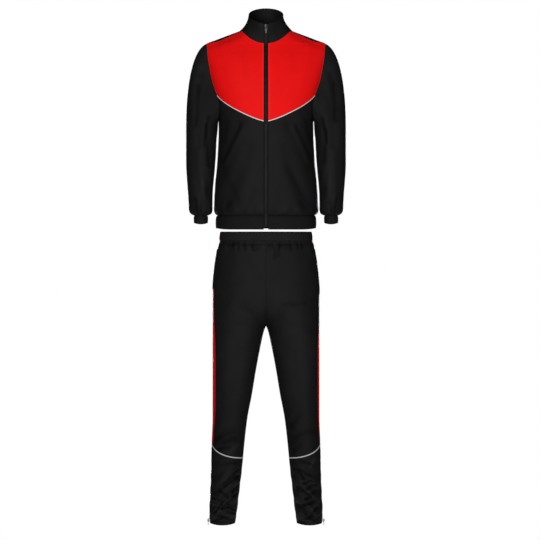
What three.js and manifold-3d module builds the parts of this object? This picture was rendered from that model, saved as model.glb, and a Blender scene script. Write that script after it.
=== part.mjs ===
// A zipped track jacket and its trousers, filled out as they are worn, hollow and open at
// neck, hems, cuffs and ankles. Millimetres, +Z up, the front faces -Y and +X is on the
// right of somebody who looks at the front. The origin is between the shoulders, level
// with the points where the neck seam meets the shoulder seams.
import * as THREE from 'three';
import Module from 'manifold-3d';

const wasm = await Module();
wasm.setup();

// Cloth
const WALL = 2;
const BAND_WALL = 2.6;
const SEAM_GAP = 0.3;
const LEFT = -1;
const RIGHT = 1;
const QUARTER = Math.PI / 2;

// Jacket levels
const SHOULDER_Z = -46;
const UNDERARM_Z = -312;
const BODY_END_Z = -646;
const CHEVRON_MIDDLE_Z = -318;
const CHEVRON_SIDE_Z = -229;
const NECK_HALF = 87.5;
const BAND_ROUND = 2.25;

// Front zip
const ZIP_EDGE = 8;
const TAPE_THICK = 1.2;
const CHAIN_HALF = 2.2;
const CHAIN_PROUD = 0.8;
const ZIP_TOP_Z = 21;

// Trouser levels
const WAIST_SEAM_Z = -737;
const TROUSER_END_Z = -1724;
const LEG_ROUND = 2.15;
const PIPE_OUTER_Z = -1451;
const PIPE_INNER_Z = -1495;
const PIPE_TALL = 5;
const POCKET_TOP_Z = -765;
const POCKET_END_Z = -925;
const POCKET_BACK = 8;
const SIDE_BACK = 7;

// Colours, with the roughness and metalness of each finish
const FINISH = {
  black: { color: 0x1d1d1e, roughness: 0.78, metalness: 0 },
  red: { color: 0xe11718, roughness: 0.72, metalness: 0 },
  piping: { color: 0xe8e6e6, roughness: 0.6, metalness: 0 },
  tape: { color: 0x141415, roughness: 0.85, metalness: 0 },
  chain: { color: 0x26262a, roughness: 0.45, metalness: 0 },
  metal: { color: 0x8e939b, roughness: 0.35, metalness: 0.85 },
};

// The jacket's rings: half width, the depth before and behind the shoulder line, and how
// round the ring is, from 1.6 where the shoulders slope to a fuller 2.25 below them
const JACKET_RINGS = [
  { z: 8, half: 66, front: 57, back: 57, round: 2.1 },
  { z: 0, half: 87.5, front: 62, back: 62, round: 2.1 },
  { z: -10, half: 114, front: 66, back: 67, round: 1.9 },
  { z: -20, half: 141, front: 69, back: 72, round: 1.75 },
  { z: -33, half: 175, front: 72, back: 78, round: 1.65 },
  { z: -46, half: 208, front: 75.5, back: 84, round: 1.6 },
  { z: -60, half: 217, front: 80, back: 90, round: 1.7 },
  { z: -90, half: 214, front: 92, back: 100, round: 1.95 },
  { z: -120, half: 208, front: 102, back: 107, round: 2.12 },
  { z: -155, half: 200, front: 111, back: 112, round: 2.22 },
  { z: -192, half: 189, front: 118, back: 115, round: 2.25 },
  { z: -218, half: 182, front: 122, back: 116, round: 2.25 },
  { z: -250, half: 175, front: 126, back: 116, round: 2.25 },
  { z: -285, half: 169, front: 128, back: 115, round: 2.25 },
  { z: -312, half: 166, front: 129, back: 114, round: 2.25 },
  { z: -360, half: 166.5, front: 130, back: 112, round: 2.25 },
  { z: -420, half: 169, front: 130, back: 110, round: 2.25 },
  { z: -480, half: 173, front: 130, back: 110, round: 2.25 },
  { z: -540, half: 179, front: 131, back: 114, round: 2.25 },
  { z: -590, half: 182, front: 132, back: 118, round: 2.25 },
  { z: -625, half: 182.5, front: 132, back: 119, round: 2.25 },
  { z: -638, half: 180, front: 129, back: 117, round: 2.25 },
  { z: -646, half: 173, front: 123, back: 111, round: 2.25 },
  { z: -655, half: 162, front: 113, back: 101, round: 2.25 },
];

// The armhole's edge: how far from the middle it runs on the front and on the back
const ARMHOLE = [
  { z: -46, front: 208, back: 208 },
  { z: -75, front: 205.5, back: 205 },
  { z: -105, front: 202, back: 200 },
  { z: -140, front: 196, back: 193 },
  { z: -175, front: 189, back: 184 },
  { z: -208, front: 178, back: 175 },
  { z: -229, front: 170.5, back: 169.5 },
  { z: -262, front: 163.5, back: 161 },
  { z: -286, front: 162, back: 158.5 },
  { z: -302, front: 163.5, back: 160.5 },
  { z: -312, front: 166, back: 166 },
];

// The sleeve's rings below the armhole: outer and inner side, front and back
const SLEEVE_RINGS = [
  { z: -340, outer: 280, inner: 171, front: -72, back: 66 },
  { z: -380, outer: 280, inner: 172, front: -72, back: 62 },
  { z: -420, outer: 280, inner: 174, front: -72, back: 58 },
  { z: -460, outer: 280, inner: 176.5, front: -72, back: 53 },
  { z: -500, outer: 278.5, inner: 180, front: -72, back: 48 },
  { z: -540, outer: 275.5, inner: 184, front: -72, back: 43 },
  { z: -580, outer: 272.5, inner: 186.5, front: -72, back: 38 },
  { z: -612, outer: 270.5, inner: 187, front: -71, back: 34 },
  { z: -630, outer: 268.5, inner: 187.5, front: -68, back: 31 },
  { z: -641, outer: 263.5, inner: 191, front: -62, back: 23 },
  { z: -647.5, outer: 252.5, inner: 203, front: -54, back: 14 },
];

// The bands: half width, and the depth before and behind their middle line
const HEM_BAND = [
  { z: -646.3, half: 172.5, front: 122.5, back: 110.5 },
  { z: -656, half: 175.5, front: 125, back: 113 },
  { z: -674, half: 176.5, front: 126, back: 114 },
  { z: -689, half: 175.5, front: 125, back: 113 },
  { z: -693, half: 173.5, front: 123, back: 111 },
];
const CUFF_BAND = [
  { z: -647.9, half: 24.4, depth: 33.8 },
  { z: -655, half: 25.2, depth: 34.6 },
  { z: -668, half: 24.8, depth: 34.3 },
  { z: -676, half: 23.4, depth: 33 },
];
const CUFF_MIDDLE = { x: 227.75, y: -20 };
const WAIST_BAND = [
  { z: -703.5, half: 158.5, front: 107, back: 103 },
  { z: -712, half: 160.5, front: 109, back: 105 },
  { z: -728, half: 161.5, front: 110, back: 106 },
  { z: -736.9, half: 162.5, front: 110, back: 107 },
];

// The trousers' rings for one leg: outer and inner side, front and back. Above the crotch
// the inner side lies past the middle, where the centre seam cuts the ring off.
const LEG_RINGS = [
  { z: -728, outer: 162, inner: -162, front: -109, back: 106 },
  { z: -737, outer: 163, inner: -163, front: -110, back: 107 },
  { z: -750, outer: 167, inner: -167, front: -113, back: 112 },
  { z: -768, outer: 171.5, inner: -171.5, front: -116, back: 118 },
  { z: -800, outer: 177, inner: -177, front: -120, back: 126 },
  { z: -830, outer: 181, inner: -180, front: -122, back: 132 },
  { z: -870, outer: 185, inner: -172, front: -124, back: 137 },
  { z: -910, outer: 187, inner: -140, front: -123, back: 139 },
  { z: -945, outer: 187, inner: -100, front: -122, back: 139 },
  { z: -975, outer: 187, inner: -60, front: -120, back: 136 },
  { z: -1000, outer: 187, inner: -30, front: -117, back: 132 },
  { z: -1020, outer: 187, inner: -10, front: -114, back: 128 },
  { z: -1034, outer: 187, inner: 0, front: -112, back: 124 },
  { z: -1048, outer: 187, inner: 6, front: -111, back: 120 },
  { z: -1104, outer: 187, inner: 19, front: -105, back: 107 },
  { z: -1188, outer: 187, inner: 35, front: -98, back: 94 },
  { z: -1272, outer: 187, inner: 49, front: -90, back: 82 },
  { z: -1356, outer: 187, inner: 65, front: -82, back: 72 },
  { z: -1440, outer: 190, inner: 75, front: -74, back: 68 },
  { z: -1524, outer: 191, inner: 83, front: -66, back: 68 },
  { z: -1608, outer: 194, inner: 93, front: -60, back: 64 },
  { z: -1692, outer: 197.5, inner: 103, front: -56, back: 58 },
  { z: -1724, outer: 196.5, inner: 108, front: -55, back: 57 },
  { z: -1740, outer: 196, inner: 110, front: -54, back: 56 },
];

// The red side panel: how far it reaches in front of the side line
const STRIPE = [
  { z: -728, front: 36 },
  { z: -930, front: 36 },
  { z: -1100, front: 54 },
  { z: -1300, front: 49 },
  { z: -1400, front: 36 },
  { z: -1460, front: 25 },
];

// How far the left leg's front panel swings back over the side panel below the pocket
const STRIPE_TUCK = [
  { z: -925, back: 0 },
  { z: -975, back: 24 },
  { z: -1010, back: 22 },
  { z: -1100, back: 0 },
  { z: -1140, back: 0 },
];

// The largest folds, as soft troughs that run from one point of the front view to another:
// distance from the middle, height, half width of the trough and its depth. Face says the
// front (-1) or the back (1), and side one half of the garment, or 0 for both.
const JACKET_FOLDS = [
  { side: LEFT, face: -1, x1: 96, z1: -330, x2: 150, z2: -470, half: 24, depth: 5 },
  { side: RIGHT, face: -1, x1: 84, z1: -330, x2: 160, z2: -470, half: 24, depth: 5 },
  { side: LEFT, face: -1, x1: 60, z1: -420, x2: 140, z2: -600, half: 26, depth: 4 },
  { side: RIGHT, face: -1, x1: 70, z1: -400, x2: 130, z2: -590, half: 26, depth: 4 },
  { side: LEFT, face: 1, x1: 60, z1: -180, x2: 140, z2: -300, half: 28, depth: 5 },
  { side: RIGHT, face: 1, x1: 66, z1: -170, x2: 142, z2: -310, half: 28, depth: 5 },
  { side: LEFT, face: 1, x1: 40, z1: -430, x2: 150, z2: -560, half: 26, depth: 5 },
  { side: RIGHT, face: 1, x1: 30, z1: -450, x2: 146, z2: -580, half: 26, depth: 5 },
];
const SLEEVE_FOLDS = [
  { side: 0, face: -1, x1: 226, z1: -150, x2: 238, z2: -400, half: 18, depth: 5 },
  { side: 0, face: -1, x1: 202, z1: -560, x2: 232, z2: -640, half: 16, depth: 4 },
  { side: 0, face: 1, x1: 214, z1: -200, x2: 236, z2: -430, half: 20, depth: 5 },
  { side: 0, face: 1, x1: 244, z1: -470, x2: 206, z2: -600, half: 18, depth: 5 },
];
const LEG_FOLDS = [
  { side: LEFT, face: -1, x1: 20, z1: -1010, x2: 90, z2: -960, half: 20, depth: 5 },
  { side: RIGHT, face: -1, x1: 20, z1: -1010, x2: 96, z2: -955, half: 20, depth: 5 },
  { side: 0, face: 1, x1: 20, z1: -985, x2: 130, z2: -925, half: 22, depth: 7 },
  { side: 0, face: 1, x1: 30, z1: -1060, x2: 120, z2: -1015, half: 18, depth: 5 },
  { side: 0, face: 1, x1: 90, z1: -1390, x2: 170, z2: -1360, half: 18, depth: 5 },
  { side: 0, face: 1, x1: 84, z1: -1420, x2: 168, z2: -1440, half: 16, depth: 5 },
  { side: LEFT, face: -1, x1: 176, z1: -1424, x2: 110, z2: -1404, half: 14, depth: 4 },
  { side: RIGHT, face: -1, x1: 172, z1: -1400, x2: 100, z2: -1424, half: 14, depth: 3 },
];

// The lower legs' stacked folds go up and down the ring like a slack zigzag
const STACK_TOP_Z = -1500;
const STACK_PITCH = 54;
const STACK_DEPTH = 3;
const STACK_SLANT = 0.55;

// Gathers where a band draws the cloth in: how many waves go round, and their depth
const HEM_GATHERS = { waves: 20, depth: 2, peak: 14, reach: 60 };
const WAIST_GATHERS = { waves: 22, depth: 2.2, peak: 12, reach: 50 };
const CUFF_GATHERS = { waves: 10, depth: 2.2, peak: 16, reach: 60 };

const clamp = THREE.MathUtils.clamp;
const lerp = THREE.MathUtils.lerp;
const signedPower = (value, power) => Math.sign(value) * Math.abs(value) ** power;

// A smooth curve through one column of a table, without overshoot between its rows
function curve(rows, key) {
  const t = rows.map((row) => -row.z);
  const v = rows.map((row) => row[key]);
  const slope = t.slice(1).map((end, i) => (v[i + 1] - v[i]) / (end - t[i]));
  const tangent = t.map((_, i) => {
    if (i === 0) return slope[0];
    if (i === t.length - 1) return slope[i - 1];
    const product = slope[i - 1] * slope[i];
    return product > 0 ? (2 * product) / (slope[i - 1] + slope[i]) : 0;
  });
  return (z) => {
    const at = clamp(-z, t[0], t[t.length - 1]);
    let i = 0;
    while (i < t.length - 2 && at > t[i + 1]) i += 1;
    const span = t[i + 1] - t[i];
    const s = (at - t[i]) / span;
    const keep = (1 + 2 * s) * (1 - s) ** 2;
    const leave = s * (1 - s) ** 2 * span;
    const arrive = s * s * (s - 1) * span;
    return keep * v[i] + leave * tangent[i] + (1 - keep) * v[i + 1] + arrive * tangent[i + 1];
  };
}

// How far the folds push a point in: each is a soft trough along its own line
function foldDepth(folds, side, point, normal) {
  let total = 0;
  for (const fold of folds) {
    if (fold.side !== 0 && fold.side !== side) continue;
    const facing = clamp(fold.face * normal.y * 1.6, 0, 1);
    const dx = fold.x2 - fold.x1;
    const dz = fold.z2 - fold.z1;
    const px = Math.abs(point.x) - fold.x1;
    const pz = point.z - fold.z1;
    const along = clamp((px * dx + pz * dz) / (dx * dx + dz * dz), 0, 1);
    const away = Math.hypot(px - along * dx, pz - along * dz) / fold.half;
    total += fold.depth * facing * Math.exp(-away * away);
  }
  return total;
}

// Waves beside a gathered seam: none on the seam, deepest a little way off, then fading
function gatherWave(gathers, turn, away) {
  const rise = clamp(away / gathers.peak, 0, 1);
  const fade = clamp(1 - (away - gathers.peak) / (gathers.reach - gathers.peak), 0, 1);
  return gathers.depth * rise * fade * fade * Math.cos(turn * gathers.waves * 2 * Math.PI);
}

// The outward normal of a surface that is given by height and angle
function surfaceNormal(surface, z, angle, middle) {
  const step = 0.004;
  const lift = 0.4;
  const round = surface(z, angle + step).sub(surface(z, angle - step));
  const up = surface(z + lift, angle).sub(surface(z - lift, angle));
  const normal = round.cross(up).normalize();
  const outward = surface(z, angle).sub(middle);
  return normal.dot(outward) < 0 ? normal.negate() : normal;
}

// Turns a grid of outer points, each with its outward normal, into a closed cloth wall.
// The edges named in seams draw back by half a seam gap, and wrap closes each row.
function clothWall(cells, { thick = WALL, wrap = false, seams = ['low', 'high', 'start', 'end'] }) {
  const rows = cells.length;
  const columns = cells[0].length;
  const outer = cells.map((row) => row.map((cell) => cell.p.clone()));
  const inner = cells.map((row) => row.map((cell) => cell.p.clone().addScaledVector(cell.n, -thick)));
  const drawBack = (layer, i, j, ni, nj) => {
    const toward = layer[ni][nj].clone().sub(layer[i][j]).normalize();
    return layer[i][j].clone().addScaledVector(toward, SEAM_GAP / 2);
  };
  const drawEdge = (list) => {
    for (const layer of [outer, inner]) {
      const moved = list.map(([i, j, ni, nj]) => drawBack(layer, i, j, ni, nj));
      list.forEach(([i, j], k) => layer[i][j].copy(moved[k]));
    }
  };
  const columnList = cells[0].map((_, j) => j);
  const rowList = cells.map((_, i) => i);
  if (seams.includes('low')) drawEdge(columnList.map((j) => [0, j, 1, j]));
  if (seams.includes('high')) drawEdge(columnList.map((j) => [rows - 1, j, rows - 2, j]));
  if (!wrap && seams.includes('start')) drawEdge(rowList.map((i) => [i, 0, i, 1]));
  if (!wrap && seams.includes('end')) {
    drawEdge(rowList.map((i) => [i, columns - 1, i, columns - 2]));
  }
  const positions = [];
  for (const layer of [outer, inner]) {
    for (const row of layer) {
      for (const p of row) positions.push(p.x, p.y, p.z);
    }
  }
  const half = rows * columns;
  const id = (i, j) => i * columns + (j % columns);
  const faces = [];
  const quad = (a, b, c, d) => faces.push(a, b, c, a, c, d);
  const spans = wrap ? columns : columns - 1;
  for (let i = 0; i < rows - 1; i += 1) {
    for (let j = 0; j < spans; j += 1) {
      quad(id(i, j), id(i, j + 1), id(i + 1, j + 1), id(i + 1, j));
      quad(half + id(i, j), half + id(i + 1, j), half + id(i + 1, j + 1), half + id(i, j + 1));
    }
    if (!wrap) {
      quad(id(i, 0), id(i + 1, 0), half + id(i + 1, 0), half + id(i, 0));
      const last = columns - 1;
      quad(id(i + 1, last), id(i, last), half + id(i, last), half + id(i + 1, last));
    }
  }
  for (let j = 0; j < spans; j += 1) {
    const top = rows - 1;
    quad(id(0, j + 1), id(0, j), half + id(0, j), half + id(0, j + 1));
    quad(id(top, j), id(top, j + 1), half + id(top, j + 1), half + id(top, j));
  }
  return closedGeometry(positions, faces);
}

// A geometry from points and triangles, turned so that its faces point out
function closedGeometry(positions, faces) {
  let volume = 0;
  const point = (index) => new THREE.Vector3().fromArray(positions, index * 3);
  for (let k = 0; k < faces.length; k += 3) {
    volume += point(faces[k]).dot(point(faces[k + 1]).cross(point(faces[k + 2])));
  }
  const turned = [...faces];
  if (volume < 0) {
    for (let k = 0; k < turned.length; k += 3) {
      [turned[k + 1], turned[k + 2]] = [turned[k + 2], turned[k + 1]];
    }
  }
  const geometry = new THREE.BufferGeometry();
  geometry.setAttribute('position', new THREE.Float32BufferAttribute(positions, 3));
  geometry.setIndex(turned);
  geometry.computeVertexNormals();
  return geometry;
}

const tracksuit = new THREE.Group();
const jacket = new THREE.Group();
const trousers = new THREE.Group();
tracksuit.add(jacket, trousers);

// Adds one named piece with a material of its own
function addPiece(group, name, geometry, finish) {
  const piece = new THREE.Mesh(geometry, new THREE.MeshStandardMaterial(FINISH[finish]));
  piece.name = name;
  group.add(piece);
  return piece;
}

const sideName = (side) => (side === LEFT ? 'right' : 'left');

// Jacket body

const jacketHalf = curve(JACKET_RINGS, 'half');
const jacketFront = curve(JACKET_RINGS, 'front');
const jacketBack = curve(JACKET_RINGS, 'back');
const jacketRound = curve(JACKET_RINGS, 'round');
const armFront = curve(ARMHOLE, 'front');
const armBack = curve(ARMHOLE, 'back');

// A point of the plain jacket body: the angle goes from 0 at the middle of the front,
// through a quarter turn at the side, to a half turn at the middle of the back.
function bodyPoint(z, angle) {
  const power = 2 / jacketRound(z);
  const depth = Math.abs(angle) <= QUARTER ? jacketFront(z) : jacketBack(z);
  return new THREE.Vector3(
    jacketHalf(z) * signedPower(Math.sin(angle), power),
    -depth * signedPower(Math.cos(angle), power),
    z,
  );
}

// The same point with its folds and gathers, and its outward normal
function bodyCell(z, angle) {
  const middle = new THREE.Vector3(0, 0, z - 60);
  const normal = surfaceNormal(bodyPoint, z, angle, middle);
  const point = bodyPoint(z, angle);
  const side = Math.sin(angle) < 0 ? LEFT : RIGHT;
  const wave = gatherWave(HEM_GATHERS, angle / (2 * Math.PI), z - BODY_END_Z);
  point.addScaledVector(normal, wave - foldDepth(JACKET_FOLDS, side, point, normal));
  return { p: point, n: normal };
}

// The angle at which a panel ends beside the armhole, or at the side and shoulder seams
function edgeAngle(z, reach) {
  if (z >= SHOULDER_Z || z <= UNDERARM_Z) return QUARTER;
  const part = clamp(reach(z) / jacketHalf(z), 0, 1);
  return Math.asin(part ** (jacketRound(z) / 2));
}

// The angle at which the body ring is a given distance from the middle
function angleAt(z, distance) {
  const part = clamp(distance / jacketHalf(z), 0, 1);
  return Math.asin(part ** (jacketRound(z) / 2));
}

// The front neckline falls from the shoulder seams to the zip
const NECK_DROP = 46;
const NECK_CURVE = 2.2;
const neckHalf = (z) => (NECK_HALF - 1.5) * ((z + NECK_DROP) / (NECK_DROP - 1)) ** (1 / NECK_CURVE);
const NECK_ROWS = [-44, -38, -28, -15, -2];

// The chevron rises from the zip to the armhole, with a slight lift at its end
const chevronZ = (u) => lerp(CHEVRON_MIDDLE_Z, CHEVRON_SIDE_Z - 6, u) + 6 * u ** 8;

const YOKE_EDGE_ROWS = [-227, -208, -175, -140, -105, -75, SHOULDER_Z];
const PIPE_HALF = 2;
const FRONT_COLUMNS = 9;
const LOWER_EDGE_ROWS = [
  BODY_END_Z, -632, -608, -570, -520, -465, -410, -355, UNDERARM_Z, -302, -286, -262, -231,
];

// One row of a front panel, from its inner edge to the armhole or the seam
function frontRow(side, z, startAngle, endAngle, columns) {
  return Array.from({ length: columns + 1 }, (_, j) => {
    const angle = lerp(startAngle(z(j / columns)), endAngle(z(j / columns)), j / columns);
    return bodyCell(z(j / columns), side * angle);
  });
}

const zipStart = (z) => angleAt(z, ZIP_EDGE);
const frontEnd = (z) => edgeAngle(z, armFront);

function yoke(side) {
  const low = YOKE_EDGE_ROWS[0];
  const rows = YOKE_EDGE_ROWS.map((edge) => {
    const share = (edge - low) / (SHOULDER_Z - low);
    const height = (u) => lerp(chevronZ(u) + PIPE_HALF, SHOULDER_Z, share);
    return frontRow(side, height, zipStart, frontEnd, FRONT_COLUMNS);
  });
  for (const z of NECK_ROWS) {
    const neckStart = () => angleAt(z, neckHalf(z));
    rows.push(frontRow(side, () => z, neckStart, frontEnd, FRONT_COLUMNS));
  }
  return clothWall(rows, {});
}

function lowerFront(side) {
  const low = LOWER_EDGE_ROWS[0];
  const high = LOWER_EDGE_ROWS[LOWER_EDGE_ROWS.length - 1];
  const rows = LOWER_EDGE_ROWS.map((edge) => {
    const share = (edge - low) / (high - low);
    const height = (u) => lerp(low, chevronZ(u) - PIPE_HALF, share);
    return frontRow(side, height, zipStart, frontEnd, FRONT_COLUMNS);
  });
  return clothWall(rows, {});
}

// The light piping in the chevron seam stands a little proud of both panels
const PIPE_PROUD = 0.8;
function yokePiping(side) {
  const rows = [-PIPE_HALF, 0, PIPE_HALF].map((lift) => {
    const height = (u) => chevronZ(u) + lift;
    const row = frontRow(side, height, zipStart, frontEnd, FRONT_COLUMNS);
    const proud = lift === 0 ? PIPE_PROUD : 0;
    return row.map((cell) => ({ p: cell.p.addScaledVector(cell.n, proud), n: cell.n }));
  });
  return clothWall(rows, {});
}

const BACK_COLUMNS = 18;
const BACK_ROWS = [
  BODY_END_Z, -632, -608, -570, -520, -465, -410, -355, UNDERARM_Z, -302, -286, -262, -234,
  -208, -175, -140, -105, -75, SHOULDER_Z, ...NECK_ROWS,
];

function backPanel() {
  const rows = BACK_ROWS.map((z) => {
    const edge = edgeAngle(z, armBack);
    return Array.from({ length: BACK_COLUMNS + 1 }, (_, j) => {
      const across = lerp(-1, 1, j / BACK_COLUMNS);
      return bodyCell(z, Math.PI + across * edge);
    });
  });
  return clothWall(rows, {});
}

addPiece(jacket, 'jacket_back', backPanel(), 'black');
for (const side of [LEFT, RIGHT]) {
  addPiece(jacket, `jacket_yoke_${sideName(side)}`, yoke(side), 'red');
  addPiece(jacket, `jacket_front_${sideName(side)}`, lowerFront(side), 'black');
  addPiece(jacket, `yoke_piping_${sideName(side)}`, yokePiping(side), 'piping');
}

// Outward normals for a grid of points, from its neighbours; wrap closes each row
function gridCells(points, wrap, middle) {
  const rows = points.length;
  const columns = points[0].length;
  const at = (i, j) => {
    const column = wrap ? (j + columns) % columns : clamp(j, 0, columns - 1);
    return points[clamp(i, 0, rows - 1)][column];
  };
  return points.map((row, i) => row.map((p, j) => {
    const round = at(i, j + 1).clone().sub(at(i, j - 1));
    const up = at(i + 1, j).clone().sub(at(i - 1, j));
    const n = round.cross(up).normalize();
    const outward = p.clone().sub(middle(p, i));
    return { p, n: n.dot(outward) < 0 ? n.negate() : n };
  }));
}

// Collar

const COLLAR_TOP = { half: 61, front: -78, back: 56, low: 23, high: 79, sharp: 0.8 };
const COLLAR_ROWS = [0, 0.3, 0.65, 1];
const COLLAR_BACK_COLUMNS = 5;

// The neck seam from the zip round one side to the middle of the back
function neckSeam(side) {
  const front = [SHOULDER_Z, ...NECK_ROWS].map((z) => {
    const angle = z === SHOULDER_Z ? zipStart(z) : angleAt(z, neckHalf(z));
    return bodyPoint(z, side * angle);
  });
  const top = NECK_ROWS[NECK_ROWS.length - 1];
  const back = Array.from({ length: COLLAR_BACK_COLUMNS + 1 }, (_, j) => (
    bodyPoint(top, side * lerp(QUARTER, Math.PI, j / COLLAR_BACK_COLUMNS))
  ));
  return [...front, ...back];
}

function collar() {
  const right = neckSeam(RIGHT);
  const left = neckSeam(LEFT).reverse().slice(1);
  const base = [...right, ...left];
  const centreY = (COLLAR_TOP.front + COLLAR_TOP.back) / 2;
  const depth = (COLLAR_TOP.back - COLLAR_TOP.front) / 2;
  const points = COLLAR_ROWS.map((h) => base.map((b, k) => {
    const turn = Math.atan2(b.x / NECK_HALF, -b.y / 70);
    const edge = k === 0 || k === base.length - 1;
    const rise = ((1 - Math.cos(turn)) / 2) ** COLLAR_TOP.sharp;
    const topX = edge ? b.x : COLLAR_TOP.half * Math.sin(turn);
    const topY = centreY - depth * Math.cos(turn);
    const topZ = lerp(COLLAR_TOP.low, COLLAR_TOP.high, rise);
    const lean = 1 - (1 - h) ** 2;
    return new THREE.Vector3(lerp(b.x, topX, lean), lerp(b.y, topY, lean), lerp(b.z, topZ, h));
  }));
  const cells = gridCells(points, false, (p) => new THREE.Vector3(0, centreY, p.z));
  return clothWall(cells, { seams: ['low'] });
}

addPiece(jacket, 'collar', collar(), 'black');

// Sleeves and cuffs

const sleeveOuter = curve(SLEEVE_RINGS, 'outer');
const sleeveInner = curve(SLEEVE_RINGS, 'inner');
const sleeveFront = curve(SLEEVE_RINGS, 'front');
const sleeveBack = curve(SLEEVE_RINGS, 'back');
const SLEEVE_ROUND = 2.1;
const SLEEVE_TOP_Z = -340;
const CAP_ROWS = [0, 0.14, 0.34, 0.56, 0.78];
const SLEEVE_ROWS = [SLEEVE_TOP_Z, -385, -430, -475, -520, -565, -605, -628, -641, -647.5];
const ARM_ROWS = ARMHOLE.map((row) => row.z);

// A point of the plain sleeve below the armhole: the angle is 0 on the outer side and a
// quarter turn at the front
function sleevePoint(side, z, angle) {
  const power = 2 / SLEEVE_ROUND;
  const middle = (sleeveOuter(z) + sleeveInner(z)) / 2;
  const half = (sleeveOuter(z) - sleeveInner(z)) / 2;
  const centre = (sleeveFront(z) + sleeveBack(z)) / 2;
  const depth = (sleeveBack(z) - sleeveFront(z)) / 2;
  return new THREE.Vector3(
    side * (middle + half * signedPower(Math.cos(angle), power)),
    centre - depth * signedPower(Math.sin(angle), power),
    z,
  );
}

// The armhole as a closed loop: shoulder, front, underarm and back, with the body's normals
function armholeLoop(side) {
  const cell = (z, back) => {
    const edge = edgeAngle(z, back ? armBack : armFront);
    return bodyCell(z, back ? Math.PI - side * edge : side * edge);
  };
  const front = ARM_ROWS.map((z) => cell(z, false));
  const back = ARM_ROWS.slice(1, -1).reverse().map((z) => cell(z, true));
  return [...front, ...back];
}

// How the cloth leaves the armhole: out over the shoulder, forward or back at the sides
// and straight down under the arm
const LEAVE_TOP = { out: 0.6, side: 0, down: 0.26 };
const LEAVE_SIDE = { out: 0.42, side: 0.14, down: 0.4 };
const LEAVE_UNDER = { out: 0.12, side: 0, down: 1 };

function sleeveCells(side) {
  const loop = armholeLoop(side);
  const lengths = loop.map((cell, k) => cell.p.distanceTo(loop[(k + 1) % loop.length].p));
  const half = ARM_ROWS.length - 1;
  const run = (from, to) => lengths.slice(from, to).reduce((sum, length) => sum + length, 0);
  const angles = loop.map((_, k) => {
    if (k <= half) return (Math.PI * run(0, k)) / run(0, half);
    return Math.PI + (Math.PI * run(half, k)) / run(half, loop.length);
  });
  const points = CAP_ROWS.map((s) => loop.map((cell, k) => {
    const start = cell.p;
    const end = sleevePoint(side, SLEEVE_TOP_Z, angles[k]);
    const reach = start.distanceTo(end);
    const cosine = Math.cos(angles[k]);
    const top = Math.max(cosine, 0) ** 2;
    const under = Math.max(-cosine, 0) ** 2;
    const flank = Math.sin(angles[k]) ** 2;
    const mix = (key) => top * LEAVE_TOP[key] + under * LEAVE_UNDER[key] + flank * LEAVE_SIDE[key];
    const forward = -Math.sign(Math.sin(angles[k]));
    const leave = new THREE.Vector3(side * mix('out'), forward * mix('side'), -mix('down'));
    const arrive = new THREE.Vector3(0, 0, -1);
    return start.clone().multiplyScalar((1 + 2 * s) * (1 - s) ** 2)
      .addScaledVector(leave, s * (1 - s) ** 2 * reach)
      .addScaledVector(end, s * s * (3 - 2 * s))
      .addScaledVector(arrive, s * s * (s - 1) * reach);
  }));
  for (const z of SLEEVE_ROWS) points.push(angles.map((angle) => sleevePoint(side, z, angle)));
  const axis = (p) => new THREE.Vector3(side * Math.min(226, 120 - p.z * 0.5), 0, p.z);
  const cells = gridCells(points, true, axis);
  const end = SLEEVE_ROWS[SLEEVE_ROWS.length - 1];
  cells.forEach((row, i) => row.forEach((cell, j) => {
    if (i === 0) {
      cell.n = loop[j].n;
      return;
    }
    const turn = angles[j] / (2 * Math.PI);
    const wave = gatherWave(CUFF_GATHERS, turn, cell.p.z - end);
    const settle = clamp(i / 2, 0, 1);
    const fold = foldDepth(SLEEVE_FOLDS, side, cell.p, cell.n);
    cell.p.addScaledVector(cell.n, wave - settle * fold);
  }));
  return cells;
}

// The front half of a sleeve runs from the outer line to the underarm seam, and the back
// half from there on to the outer line again
function sleeveHalves(side) {
  const cells = sleeveCells(side);
  const half = ARM_ROWS.length - 1;
  return {
    front: clothWall(cells.map((row) => row.slice(0, half + 1)), {}),
    back: clothWall(cells.map((row) => [...row.slice(half), row[0]]), {}),
  };
}

// A band that closes on itself, from rings with a half width and depths
function closedBand(rings, columns, middle, roundness) {
  const power = 2 / roundness;
  const points = rings.map((ring) => Array.from({ length: columns }, (_, j) => {
    const angle = (j / columns) * 2 * Math.PI;
    const front = ring.front ?? ring.depth;
    const back = ring.back ?? ring.depth;
    const depth = Math.cos(angle) > 0 ? front : back;
    return new THREE.Vector3(
      middle.x + ring.half * signedPower(Math.sin(angle), power),
      middle.y - depth * signedPower(Math.cos(angle), power),
      ring.z,
    );
  }));
  const cells = gridCells(points, true, (p) => new THREE.Vector3(middle.x, middle.y, p.z));
  return clothWall(cells, { wrap: true, thick: BAND_WALL, seams: [] });
}

const CUFF_COLUMNS = 20;
for (const side of [LEFT, RIGHT]) {
  const middle = { x: side * CUFF_MIDDLE.x, y: CUFF_MIDDLE.y };
  const { front, back } = sleeveHalves(side);
  addPiece(jacket, `sleeve_front_${sideName(side)}`, front, 'black');
  addPiece(jacket, `sleeve_back_${sideName(side)}`, back, 'black');
  const cuff = closedBand(CUFF_BAND, CUFF_COLUMNS, middle, SLEEVE_ROUND);
  addPiece(jacket, `cuff_${sideName(side)}`, cuff, 'black');
}

// The hem band runs from one side of the zip round the back to the other

const HEM_COLUMNS = 32;

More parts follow.
